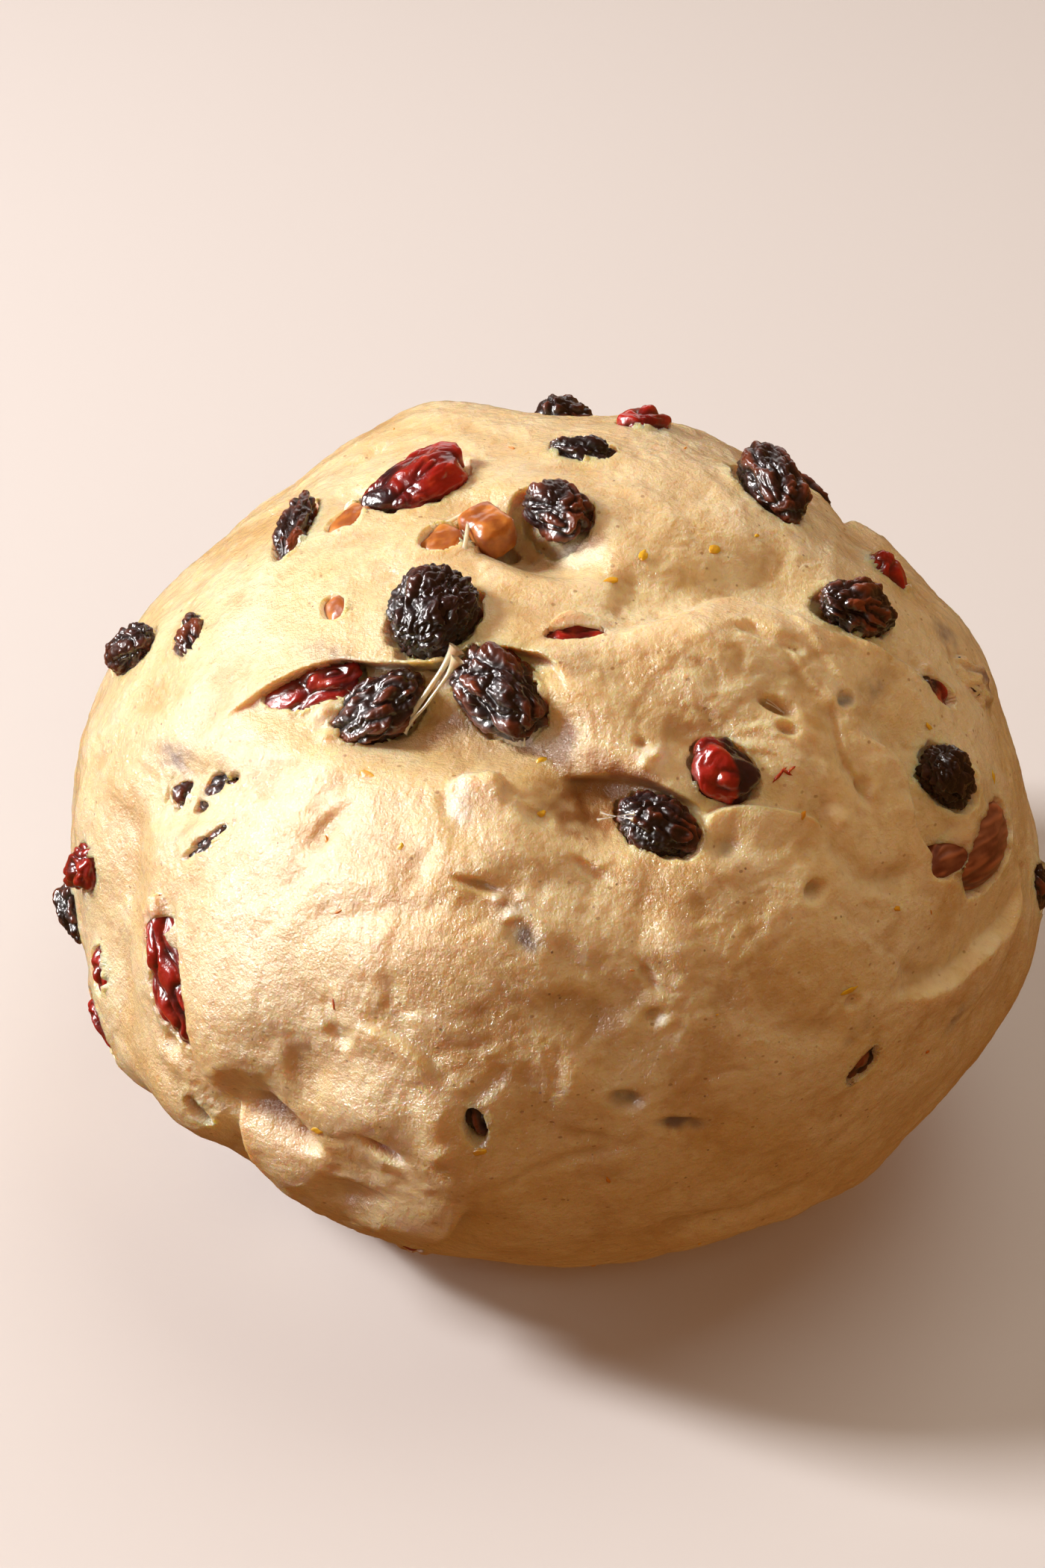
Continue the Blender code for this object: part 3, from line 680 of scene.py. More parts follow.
def mound(dirs, azimuth, elevation, along, across, turn, steepness):
    """Which directions a swelling reaches, and its height there, 1 in the middle."""
    centre = direction(azimuth, elevation)
    long_way, short_way = tangents(azimuth, elevation, turn)
    reach = min(MOUND_REACH * max(along, across) / MEAN_RADIUS, math.pi / 2)
    near = np.flatnonzero(dirs @ centre > math.cos(reach))
    offset = (dirs[near] - centre) * MEAN_RADIUS
    spread = (offset @ long_way / along) ** 2 + (offset @ short_way / across) ** 2
    return near, np.exp(-np.minimum(spread, 50.0) ** steepness)


def smooth_path(path):
    """The path over the ball as one smooth curve (Catmull-Rom), in millimetres from the heart."""
    corners = np.array([direction(*corner) for corner in path])
    padded = np.vstack([2 * corners[0] - corners[1], corners, 2 * corners[-1] - corners[-2]])
    points = []
    for before, start, end, after in zip(padded, padded[1:], padded[2:], padded[3:]):
        for step in range(PATH_STEPS):
            t = step / PATH_STEPS
            bend = (2 * before - 5 * start + 4 * end - after) * t
            bend = bend + (3 * start - 3 * end + after - before) * t * t
            points.append(start + 0.5 * t * (end - before + bend))
    points.append(corners[-1])
    return unit(np.array(points)) * MEAN_RADIUS


def trace(dirs, path, reach):
    """Which directions lie near a path, their distance from it, positive on its left, their share of the
    way along it, and the unit vectors that point to its left."""
    points = smooth_path(path)
    centre = points.mean(axis=0)
    span = np.linalg.norm(points - centre, axis=1).max() + reach
    near = np.flatnonzero(np.linalg.norm(dirs * MEAN_RADIUS - centre, axis=1) < span)
    spots = dirs[near] * MEAN_RADIUS
    nearest = np.full(len(near), np.inf)
    signed = np.zeros(len(near))
    share = np.zeros(len(near))
    leftward = np.zeros((len(near), 3))
    for index, (start, end) in enumerate(zip(points, points[1:])):
        step = end - start
        part = np.clip((spots - start) @ step / (step @ step), 0.0, 1.0)
        gap = spots - (start + part[:, None] * step)
        distance = np.linalg.norm(gap, axis=1)
        left = np.cross(start + end, step)
        left /= np.linalg.norm(left)
        closer = distance < nearest
        nearest = np.where(closer, distance, nearest)
        signed = np.where(closer, np.where(gap @ left >= 0.0, distance, -distance), signed)
        share = np.where(closer, (index + part) / (len(points) - 1), share)
        leftward[closer] = left
    return near, signed, share, leftward


def end_fade(share):
    return smooth(share / FADE_SHARE) * smooth((1.0 - share) / FADE_SHARE)


def ball_radius(dirs):
    """Distance from the heart to the smooth ball, whose lower cap is cut off flat with a rounded edge."""
    half = np.array([HALF_WIDTH, HALF_WIDTH, HALF_HEIGHT])
    round_part = ((dirs / half) ** 2).sum(axis=1) ** -0.5
    foot = HEART[2] / np.maximum(-dirs[:, 2], 1e-6)
    share = np.clip(0.5 + 0.5 * (foot - round_part) / FOOT_ROUNDING, 0.0, 1.0)
    return foot * (1.0 - share) + round_part * share - FOOT_ROUNDING * share * (1.0 - share)


def above_ball(azimuth, elevation, height):
    """A place at a height over the smooth ball, from the heart."""
    outward = direction(azimuth, elevation)
    return outward * (ball_radius(outward[None, :])[0] + height)


def add_mounds(dirs, height, hollow):
    """Swellings and dips of every size."""
    for rows, way, steepness, shade_paint in (
        (LOBES, 1, 1.0, 0.0),
        (HOLLOWS, -1, HOLLOW_STEEPNESS, HOLLOW_SHADE_PAINT),
        (PITS + loose_pits(), -1, HOLLOW_STEEPNESS, PIT_SHADE_PAINT),
        (LUMPS, 1, 1.0, 0.0),
    ):
        for *place, size in rows:
            near, level = mound(dirs, *place, steepness=steepness)
            height[near] += way * size * level
            # the hollow mark paints shade into the dough's colour where it dips
            hollow[near] += shade_paint * size * level


def add_folds(dirs, height, hollow, drag):
    """Steps in the dough, whose upper edge is dragged over the lower side."""
    for path, lip, drop, reach, step_width, overhang in FOLDS:
        near, side, share, leftward = trace(dirs, path, MOUND_REACH * reach)
        step = smooth(0.5 + side / step_width)
        fade = end_fade(share) * np.exp(-((side / reach) ** 2))
        height[near] += fade * (lip * step - drop * (1.0 - step))
        # painted shade below the fold's step, by the hollow mark
        hollow[near] += fade * drop * (1.0 - step)
        past_lip = np.maximum(side - OVERHANG_START, 0.0) / OVERHANG_REACH
        pull = overhang * end_fade(share) * np.exp(-(past_lip**2)) * step
        drag[near] -= leftward * pull[:, None]


def add_creases(dirs, height, hollow):
    for path, depth, half_width in CREASES:
        near, side, share, _ = trace(dirs, path, MOUND_REACH * half_width)
        level = end_fade(share) * np.exp(-((side / half_width) ** 2))
        height[near] -= depth * level
        # painted shade in the crease, by the hollow mark
        hollow[near] += CREASE_SHADE_PAINT * depth * level


def shape_dough(dirs):
    """Points of the dough before any fruit, how deep each lies in a hollow, and its fine relief."""
    height = np.zeros(len(dirs))
    hollow = np.zeros(len(dirs))
    drag = np.zeros((len(dirs), 3))
    add_mounds(dirs, height, hollow)
    add_folds(dirs, height, hollow, drag)
    add_creases(dirs, height, hollow)
    grain, crest = dough_grain(dirs)
    height += grain
    smooth_ball = ball_radius(dirs)
    above_foot = HEART[2] + smooth_ball * dirs[:, 2]
    calm = smooth(above_foot / SMOOTH_BELOW)
    points = dirs * (smooth_ball + height * calm)[:, None] + drag * calm[:, None]
    return points, hollow, crest


def scatter(rng, count, azimuths, sines, lengths, shapes):
    """Draws the places and sizes of small things one by one: azimuth, elevation, length, width and turn."""
    for _ in range(count):
        azimuth = rng.uniform(*azimuths)
        elevation = math.degrees(math.asin(rng.uniform(*sines)))
        length = rng.uniform(*lengths)
        yield azimuth, elevation, length, length * rng.uniform(*shapes), rng.uniform(0, 180)


def loose_pits():
    """The scattered pits, as rows of the table's kind."""
    rows = scatter(np.random.default_rng(LOOSE_PIT_SEED), *LOOSE_PITS)
    return tuple((*row, LOOSE_PIT_DEPTH * row[2]) for row in rows)


def dough_grain(dirs):
    """Swellings, lumps parted by fine valleys and pulled streaks, and the same without the swellings."""
    spots = dirs * MEAN_RADIUS
    bent = spots
    for far, cell, seed in BENDS:
        bent = bent + far * noise_shift(spots, cell, seed)
    usual, varying, cell = ROUGHNESS
    rough = usual + varying * noise(spots, cell, ROUGHNESS_SEED)
    for azimuth, elevation, reach, share in ROUGH_PLACES:
        near, level = mound(dirs, azimuth, elevation, reach, reach, 0, 1.0)
        rough[near] += share * level
    relief = SOFT_RELIEF[0] * noise(bent, SOFT_RELIEF[1], 2)
    relief += rough * (LUMP_RELIEF[0] * np.abs(noise(bent, LUMP_RELIEF[1], 3)) - LUMP_LEVEL)
    for number, (height, cell, kept) in enumerate(FINE_RELIEF):
        relief += (kept + rough) * height * noise(bent, cell, FIRST_FINE_SEED + number)
    for number, (azimuth, elevation, reach, turn, width, height) in enumerate(STREAKS):
        near, level = mound(dirs, azimuth, elevation, reach, reach, 0, 1.0)
        axis, _ = tangents(azimuth, elevation, turn)
        along = bent[near] @ axis
        stretched = bent[near] - STREAK_STRETCH * along[:, None] * axis
        relief[near] += height * level * noise(stretched, width, FIRST_STREAK_SEED + number)
    return relief + BROAD_RELIEF[0] * noise(spots, BROAD_RELIEF[1], 1), relief


# The form of the fruit


def fruit_of(row):
    """A row of the table, with the fruit's kind."""
    name, *measures = row
    first_word = name.split("_")[0]
    return Fruit(name, KINDS.get(first_word, first_word), *measures)


def fruit_form(kind, dirs, phase):
    """Points of a fruit whose half length, half width and half thickness are 1."""
    x, y, z = dirs.T
    if kind == "almond":
        taper = 1.0 - 0.28 * x - 0.22 * x * x
        return np.column_stack([x, y * taper, z * taper])
    if kind in ("apricot", "pale_fruit"):
        boxy = (x**4 + y**4 + z**4) ** -0.25
        return dirs * (0.9 * boxy)[:, None]
    dimples = np.sin(3.2 * x + phase) * np.sin(3.6 * y + 1.7 * phase)
    dimples += 0.7 * np.sin(4.1 * z + 2.3 * phase + 2.0 * x)
    depth = 0.07 if kind == "raisin" else 0.10
    return dirs * (0.95 + depth * dimples)[:, None]


def raisin_wrinkles(points, seed, scale):
    """Rounded ridges parted by sharp grooves that wind mostly along the raisin."""
    bent = points * (0.32, 1.0, 1.0) + 0.6 * noise_shift(points, 2.6 * scale, seed)
    coarse = np.abs(noise(bent, 1.6 * scale, seed + 1)) ** 0.7
    bent = points * (0.7, 1.0, 1.0) + 0.4 * noise_shift(points, 1.4, seed + 5)
    fine = np.abs(noise(bent, 0.8, seed + 2)) ** 0.8
    return 1.15 * scale**0.5 * coarse + 0.45 * fine - 0.68 + 0.5 * noise(points, 4.0, seed + 3)


def cranberry_wrinkles(points, seed, scale):
    """Fewer, broader folds than a raisin's, with a torn, uneven outline."""
    bent = points * (0.5, 1.0, 1.0) + 1.1 * noise_shift(points, 4.0, seed)
    coarse = np.abs(noise(bent, 2.4 * scale, seed + 1)) ** 0.8
    fine = np.abs(noise(bent, 1.1, seed + 2))
    return 1.15 * coarse - 0.42 + 0.30 * fine + 0.25 * noise(points, 3.5, seed + 3)


def almond_wrinkles(points, seed, scale):
    """Fine furrows along the kernel's skin."""
    bent = points * (0.12, 1.0, 1.0) + 0.25 * noise_shift(points, 4.0, seed)
    return scale * (0.20 * noise(bent, 0.75, seed + 1) + 0.14 * noise(bent, 1.6, seed + 2) - 0.03)


def soft_wrinkles(points, seed, scale):
    return scale * (0.30 * noise(points, 2.6, seed) + 0.10 * noise(points, 0.9, seed + 1))


WRINKLES = {
    "raisin": raisin_wrinkles,
    "cranberry": cranberry_wrinkles,
    "almond": almond_wrinkles,
    "apricot": soft_wrinkles,
    "pale_fruit": soft_wrinkles,
}


def fruit_axes(fruit):
    """Its middle from the heart, and unit vectors along it, across it and outward."""
    along, across = tangents(fruit.azimuth, fruit.elevation, fruit.turn)
    outward = direction(fruit.azimuth, fruit.elevation)
    return above_ball(fruit.azimuth, fruit.elevation, fruit.stand), np.array([along, across, outward])


def shape_fruit(index, fruit):
    """Points about the heart, faces, and marks: each point's wrinkle, its warmth and how dusky it is."""
    square = FRUIT_SQUARE if index < FIRST_HIDDEN else HIDDEN_FRUIT_SQUARE
    mean_size = (fruit.length + fruit.width + fruit.thickness) / 3.0
    dirs, quads = cube_grid(max(int(mean_size * math.pi / 4.0 / square), FEWEST_SQUARES))
    half_sizes = np.array([fruit.length, fruit.width, fruit.thickness]) / 2.0
    form = fruit_form(fruit.kind, dirs, index) * half_sizes
    seed = WRINKLE_SEED + WRINKLE_SEED_STEP * index
    wrinkle = WRINKLES[fruit.kind](form, seed, FOLD_SCALE.get(fruit.name, 1.0))
    local = form + unit(dirs / half_sizes) * wrinkle[:, None]
    centre, axes = fruit_axes(fruit)
    varying, cell = WARMTH_RELIEF
    warmth = WARMTH.get(fruit.name, USUAL_WARMTH) + varying * noise(form, cell, WARMTH_SEED + index)
    lengthwise, crosswise = DUSK.get(fruit.name, (0.0, 0.0))
    dusk = USUAL_DUSK + dirs[:, 0] * lengthwise + dirs[:, 1] * crosswise
    dusk += DUSK_RELIEF[0] * noise(form, DUSK_RELIEF[1], DUSK_SEED + index)
    return centre + local @ axes, quads, {"wrinkle": wrinkle, "warmth": warmth, "dusk": dusk}


# Dough and fruit together


def window_shares(points, places):
    """How far outside the nearest of a fruit's windows each point lies (negative inside)."""
    outside = np.full(len(points), np.inf)
    for azimuth, elevation, half_length, half_width, turn in places:
        centre = direction(azimuth, elevation)
        long_way, short_way = tangents(azimuth, elevation, turn)
        radius = ball_radius(centre[None, :])[0]
        offset = unit(points) * radius - centre * radius
        ragged = 1.0 + EDGE_RAGGED[0] * noise(offset, EDGE_RAGGED[1], int(azimuth) + WINDOW_SEED)
        share = np.hypot(offset @ long_way / half_length, offset @ short_way / half_width) * ragged
        outside = np.minimum(outside, (share - 1.0) * min(half_length, half_width))
    return outside


def own_window(fruit):
    """A window as large as the fruit: a free-standing one is bare to its outline, a sunk one not quite."""
    bare = FREE_BARE if fruit.stand > 0.0 else SUNK_BARE
    return ((fruit.azimuth, fruit.elevation, bare * fruit.length / 2, bare * fruit.width / 2, fruit.turn),)


def slide_to_edge(points, places):
    """Slides the points that lie nearest a window's edge onto it, so that the edge runs smoothly, and
    returns how far outside the window each point then lies."""
    outside = window_shares(points, places)
    close = np.flatnonzero(np.abs(outside) < EDGE_PULL)
    if len(close) == 0:
        return outside
    spots = points[close]
    outward = unit(spots)
    level = unit(np.cross(outward, (0.0, 0.0, 1.0)))
    upward = np.cross(outward, level)
    slope = np.zeros_like(spots)
    for way in (level, upward):
        rise = (window_shares(spots + EDGE_PROBE * way, places) - outside[close]) / EDGE_PROBE
        slope += rise[:, None] * way
    steepness = np.maximum((slope**2).sum(axis=1), FLATTEST_EDGE)
    points[close] -= slope * (outside[close] / steepness)[:, None]
    outside[close] = 0.0
    return outside


def skin_distances(dirs, fruit_points, quads):
    """How far from the heart each direction leaves the fruit, and which directions miss it."""
    tree = BVHTree.FromPolygons(fruit_points.tolist(), quads.tolist())
    skin = np.zeros(len(dirs))
    for row, way in enumerate(dirs):
        place, _, _, _ = tree.ray_cast(Vector(way * RAY_START), Vector(-way), RAY_LENGTH)
        if place:
            skin[row] = place.length
    return skin, skin == 0.0


def shine_through(hollow, thickness):
    """Share of a fruit's colour that comes through the dough over it: little through thick dough, and
    none in a hollow."""
    clear = 1.0 - smooth(hollow / NO_SHINE_HOLLOW)
    return np.exp(-np.maximum(thickness, 0.0) / SHINE_DEPTH) * clear


def settle_fruit(points, marks, fruit, fruit_points, quads):
    """Lays the dough over and round one fruit: bare in its windows, a lip round them, covered elsewhere."""
    centre, _ = fruit_axes(fruit)
    near = np.flatnonzero(np.linalg.norm(points - centre, axis=1) < fruit.length / 2.0 + FRUIT_MARGIN)
    spots = points[near]
    windows = WINDOWS.get(fruit.name, own_window(fruit))
    outside = slide_to_edge(spots, windows)
    radius = np.linalg.norm(spots, axis=1)
    dirs = spots / radius[:, None]
    skin, missed = skin_distances(dirs, fruit_points, quads)
    buried = fruit.name in BURIED
    bare = outside < -EDGE_SLACK
    if not buried:
        climb, reached = (CLIMB, outside < OVERREACH) if windows else (LOOSE_CLIMB, True)
        bare |= ~missed & (skin > radius + climb) & reached
    cover = SKIN * (EDGE_COVER + (1.0 - EDGE_COVER) * smooth(outside / THINNING))
    swelling = DRAPE * np.logaddexp(0.0, (skin + cover - radius) / DRAPE)
    covered = radius + np.where(missed, 0.0, swelling)
    sunk = np.where(missed, radius - MOAT, np.minimum(radius, skin) - SINK)
    past_edge = np.maximum(outside - LIP_START, 0.0) / LIP_REACH
    lip = (0.0 if buried else COLLAR) * np.exp(-(past_edge**2))
    points[near] = dirs * np.where(bare, sunk, covered + lip)[:, None]
    if fruit.kind in SHINE_MARKS:
        shine = SHINE if windows else LOOSE_SHINE
        tint = np.where(bare | missed, 0.0, shine * shine_through(marks["hollow"][near], covered - skin))
        halo = HALO * np.exp(-np.maximum(outside, 0.0) / HALO_REACH)
        mark = marks[SHINE_MARKS[fruit.kind]]
        mark[near] = np.maximum(mark[near], np.maximum(tint, halo))


def stain_dough(dirs, marks):
    """Tints the dough over what lies just under it, and paints shade by the hollow mark; for a hollow the
    strength is its depth.
    """
    uneven, cell, most = PATCHES
    for mark, rows in STAINS.items():
        for *place, strength in rows:
            near, level = mound(dirs, *place, steepness=STAIN_STEEPNESS)
            patchy = np.clip(1.0 + uneven * noise(dirs[near] * MEAN_RADIUS, cell, PATCH_SEED), 0.0, most)
            marks[mark][near] = np.maximum(marks[mark][near], strength * level * patchy)


def crowd(dirs, share):
    """Directions drawn together on the side that shows, so that its squares are smaller."""
    return unit(dirs + share * direction(*SEEN_SIDE))


# Meshes


def cube_grid(squares):
    """Unit directions and quads of a cube cut into squares and blown up into a ball."""
    count = squares + 1
    first, second = np.divmod(np.arange(count * count), count)
    corner = (np.arange(squares)[:, None] * count + np.arange(squares)).ravel()
    ring = np.stack([corner, corner + count, corner + count + 1, corner + 1], axis=1)
    lattice, quads = [], []
    for axis in range(3):
        for level, order in ((0, ring[:, ::-1]), (squares, ring)):
            spots = np.empty((count * count, 3), int)
            spots[:, axis] = level
            spots[:, (axis + 1) % 3] = first
            spots[:, (axis + 2) % 3] = second
            quads.append(order + len(lattice) * count * count)
            lattice.append(spots)
    spots, merged = np.unique(np.vstack(lattice), axis=0, return_inverse=True)
    dirs = np.tan((2.0 * spots / squares - 1.0) * math.pi / 4.0)
    return unit(dirs), merged.reshape(-1)[np.vstack(quads)]


def new_piece(name, points, quads, marks, material, nodes, slot):
    """A smooth mesh piece from points about the heart, which stands for CAD nodes and carries marks."""
    mesh = bpy.data.meshes.new(name)
    mesh.vertices.add(len(points))
    mesh.vertices.foreach_set("co", ((points + np.array(HEART)) * MM).astype(np.float32).ravel())
    mesh.loops.add(quads.size)
    mesh.loops.foreach_set("vertex_index", quads.astype(np.int32).ravel())
    mesh.polygons.add(len(quads))
    mesh.polygons.foreach_set("loop_start", np.arange(0, quads.size, 4, dtype=np.int32))
    mesh.update(calc_edges=True)
    mesh.validate()
    mesh.shade_smooth()
    for mark, values in marks.items():
        layer = mesh.attributes.new(mark, "FLOAT", "POINT")
        layer.data.foreach_set("value", np.asarray(values, np.float32))
    mesh.materials.append(material)
    obj = bpy.data.objects.new(name, mesh)
    bpy.context.scene.collection.objects.link(obj)
    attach(obj, ROOT)
    if nodes:
        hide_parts(*nodes)


def join(parts):
    """Several lots of points and faces as one."""
    starts = np.cumsum([0] + [len(points) for points, _ in parts])
    points = np.vstack([points for points, _ in parts])
    return points, np.vstack([quads + start for (_, quads), start in zip(parts, starts)])


def strand_mesh(start, end, sag, thick, thin):
    """A pulled thread of dough between two places over the ball, which flares out at both ends."""
    share = np.linspace(0.0, 1.0, STRAND_STEPS)[:, None]
    sagging = np.array([0.0, 0.0, sag]) * 4.0 * share * (1.0 - share)
    line = above_ball(*start) * (1.0 - share) + above_ball(*end) * share - sagging
    line += STRAND_WAVER[0] * noise_shift(line, STRAND_WAVER[1], WAVER_SEED)
    radius = thin + (thick - thin) * np.abs(2.0 * share - 1.0) ** STRAND_FLARE
    along = unit(np.gradient(line, axis=0))
    side = unit(np.cross(along, direction(*SEEN_SIDE)))
    other = STRAND_FLATNESS * np.cross(along, side)
    angle = np.linspace(0.0, 2.0 * math.pi, STRAND_SIDES, endpoint=False)[:, None]
    ring = side[:, None, :] * np.cos(angle) + other[:, None, :] * np.sin(angle)
    points = (line[:, None, :] + ring * radius[:, None]).reshape(-1, 3)
    row, column = np.divmod(np.arange((STRAND_STEPS - 1) * STRAND_SIDES), STRAND_SIDES)
    following = (column + 1) % STRAND_SIDES
    here, ahead = row * STRAND_SIDES, (row + 1) * STRAND_SIDES
    return points, np.stack([here + column, here + following, ahead + following, ahead + column], axis=1)


def flake_rows():
    """The flakes that the table places, and the scattered ones."""
    rng = np.random.default_rng(LOOSE_FLAKE_SEED)
    rows = scatter(rng, *LOOSE_FLAKES)
    return FLAKES + tuple((*row, rng.uniform(*LOOSE_FLAKE_TINTS)) for row in rows)


def flake_meshes(dough_points):
    """Ragged flakes half sunk in the dough's skin: points, faces and colour mark."""
    dough_dirs = unit(dough_points)
    form, quads = cube_grid(FLAKE_SQUARES)
    parts, tints = [], []
    for number, (azimuth, elevation, length, width, turn, tint) in enumerate(flake_rows()):
        outward = direction(azimuth, elevation)
        place = dough_points[np.argmax(dough_dirs @ outward)]
        along, across = tangents(azimuth, elevation, turn)
        ragged = 1.0 + FLAKE_RAGGED[0] * noise(form * FLAKE_RAGGED[1], 1.0, FLAKE_SEED + number)
        local = form * (length / 2, width / 2, FLAKE_HALF_THICKNESS) * ragged[:, None]
        place = place + outward * (FLAKE_HEIGHT - FLAKE_SINK)
        parts.append((place + local @ np.array([along, across, outward]), quads))
        tints.append(np.full(len(form), tint))
    points, faces = join(parts)
    return points, faces, {"tint": np.concatenate(tints)}


# Materials


def put(tree, socket, value):
    """Sets a socket to a number or a colour, or links it to another node's output."""
    if isinstance(value, bpy.types.NodeSocket):
        tree.links.new(value, socket)
    else:
        socket.default_value = value


def add_node(tree, kind, inputs, **settings):
    """A node with its settings and inputs, which are named or numbered."""
    made = tree.nodes.new(kind)
    for key, value in settings.items():
        setattr(made, key, value)
    for key, value in inputs.items():
        put(tree, made.inputs[key], value)
    return made


def mix(tree, share, first, second):
    """The colour between two others at share."""
    return add_node(tree, "ShaderNodeMix", {0: share, 6: first, 7: second}, data_type="RGBA").outputs[2]


def times(tree, first, second):
    return add_node(tree, "ShaderNodeMath", {0: first, 1: second}, operation="MULTIPLY").outputs[0]


def ramp(tree, value, low, high, to_low=0.0, to_high=1.0):
    """The value drawn from its own range into another, level outside it."""
    value = reading(tree, value)
    inputs = {"Value": value, "From Min": low, "From Max": high, "To Min": to_low, "To Max": to_high}
    return add_node(tree, "ShaderNodeMapRange", inputs, interpolation_type="SMOOTHSTEP").outputs[0]


def mark_of(tree, name):
    return add_node(tree, "ShaderNodeAttribute", {}, attribute_name=name).outputs["Fac"]


def places(tree, scale=(1.0, 1.0, 1.0)):
    """Where on the object the shader is, in metres, stretched by scale."""
    spot = tree.nodes.new("ShaderNodeTexCoord").outputs["Object"]
    return add_node(tree, "ShaderNodeMapping", {"Vector": spot, "Scale": scale}).outputs[0]


def mottle(tree, size_mm, detail, roughness=0.5, vector=None):
    """Noise whose blotches are about size_mm wide."""
    scale = 1.0 / (size_mm * MM)
    inputs = {"Vector": vector or places(tree), "Scale": scale, "Detail": detail, "Roughness": roughness}
    return add_node(tree, "ShaderNodeTexNoise", inputs).outputs["Fac"]


def specks(tree, apart_mm, radius_mm, vector, offset):
    """1 on small specks that lie about apart_mm from each other, and a colour drawn for each of them."""
    moved = add_node(tree, "ShaderNodeVectorMath", {0: vector, 1: (offset,) * 3}, operation="ADD")
    inputs = {"Vector": moved.outputs[0], "Scale": 1.0 / (apart_mm * MM), "Randomness": 1.0}
    made = add_node(tree, "ShaderNodeTexVoronoi", inputs)
    size = radius_mm / apart_mm
    return ramp(tree, made.outputs["Distance"], size * 0.6, size * 1.1, 1.0, 0.0), made.outputs["Color"]


def reading(tree, source):
    """A value over the surface: a mark by its name, mottling by its settings, or another node's."""
    if isinstance(source, str):
        return mark_of(tree, source)
    return mottle(tree, *source) if isinstance(source, tuple) else source


def bump(tree, mottling, distance_mm, strength, normal=None):
    inputs = {"Height": mottle(tree, *mottling), "Distance": distance_mm * MM, "Strength": strength}
    if normal:
        inputs["Normal"] = normal
    return add_node(tree, "ShaderNodeBump", inputs).outputs[0]


def new_material(name):
    """The material, its nodes and its shader."""
    material = bpy.data.materials.new(name)
    material.use_nodes = True
    return material, material.node_tree, material.node_tree.nodes["Principled BSDF"]


def finish_shader(tree, shader, colour, roughness, normal=None, specular=0.5, subsurface=(), coat=()):
    """Fills in the shader; subsurface is its weight, radii and scale, and coat its weight and roughness."""
    values = {"Base Color": colour, "Roughness": roughness, "Specular IOR Level": specular}
    values.update(zip(("Subsurface Weight", "Subsurface Radius", "Subsurface Scale"), subsurface))
    values.update(zip(("Coat Weight", "Coat Roughness", "Coat Normal"), coat))
    if normal:
        values["Normal"] = normal
    for key, value in values.items():
        put(tree, shader.inputs[key], value)


def two_tone(tree, value, low, high, first, second):
    """One colour where the value is low, and another where it is high."""
    return mix(tree, ramp(tree, value, low, high), first + (1,), second + (1,))


def overlay(tree, colour, value, low, high, share, over):
    """The colour with another laid over it, from none of it at low to a share of it at high."""
    return mix(tree, ramp(tree, value, low, high, 0.0, share), colour, over + (1,))


def dough_material():
    material, tree, shader = new_material("dough_looks")
    colour = two_tone(tree, (14.0, 3.0), 0.35, 0.65, (0.80, 0.59, 0.27), (0.87, 0.71, 0.40))
    for value, low, high, share, over in (
        # painted shade in the grain's valleys and painted light on its crests
        ("crest", 0.02, -0.40, 0.60, (0.60, 0.34, 0.10)),
        ("crest", 0.05, 0.55, 0.55, (0.93, 0.81, 0.52)),
        ((4.5, 4.0, 0.6), 0.48, 0.72, 0.36, (0.68, 0.43, 0.16)),
        ((3.0, 3.0, 0.6), 0.50, 0.72, 0.40, (0.95, 0.83, 0.50)),
        ((1.3, 4.0, 0.65), 0.50, 0.72, 0.32, (0.55, 0.32, 0.11)),
        # painted shade: brown in hollows, pits and creases, by the hollow mark
        ("hollow", 0.8, 5.4, 0.90, (0.42, 0.18, 0.05)),
        ("dark", 0.05, 0.95, 0.85, (0.17, 0.12, 0.12)),
        ("red", 0.05, 0.95, 0.85, (0.46, 0.10, 0.10)),
        ("pale", 0.1, 1.0, 0.75, (0.93, 0.86, 0.70)),
    ):
        colour = overlay(tree, colour, value, low, high, share, over)
    # dark dots, and bran that is drawn out a little
    for apart, radius, stretch, offset, low, high, share, over in (
        (2.2, 0.20, 1.0, 0.0, 0.35, 0.85, 0.75, (0.20, 0.09, 0.04)),
        (2.6, 0.34, 1.6, 0.31, 0.5, 0.58, 0.6, (0.34, 0.15, 0.04)),
    ):
        dots, pick = specks(tree, apart, radius, places(tree, (1.0, 1.0, stretch)), offset)
        dots = times(tree, dots, ramp(tree, pick, low, high))
        colour = mix(tree, times(tree, dots, share), colour, over + (1,))
    coarse = bump(tree, (1.5, 4.0, 0.7), 0.32, 0.9)
    drawn = bump(tree, (0.8, 3.0, 0.6, places(tree, (1.0, 1.0, 0.45))), 0.22, 0.7, coarse)
    fine = bump(tree, (0.50, 3.0, 0.7), 0.24, 1.0, drawn)
    rough = ramp(tree, (5.0, 3.0), 0.3, 0.7, 0.36, 0.52)
    wet = ramp(tree, "hollow", 0.5, 4.0, 0.9, 0.2)
    under_skin = (0.8, (1.0, 0.46, 0.15), 0.0036)
    finish_shader(tree, shader, colour, rough, fine, 0.4, under_skin, (wet, 0.11, fine))
    return material


def strand_material():
    """Gluten drawn thin: paler and clearer than the dough."""
    material, tree, shader = new_material("strand_looks")
    colour = two_tone(tree, (1.5, 3.0), 0.35, 0.7, (0.88, 0.76, 0.54), (0.78, 0.58, 0.36))
    skin = bump(tree, (0.5, 3.0, 0.6), 0.06, 0.6)
    finish_shader(tree, shader, colour, 0.3, skin, 0.5, (0.8, (1.0, 0.6, 0.4), 0.0015), (0.5, 0.1))
    return material


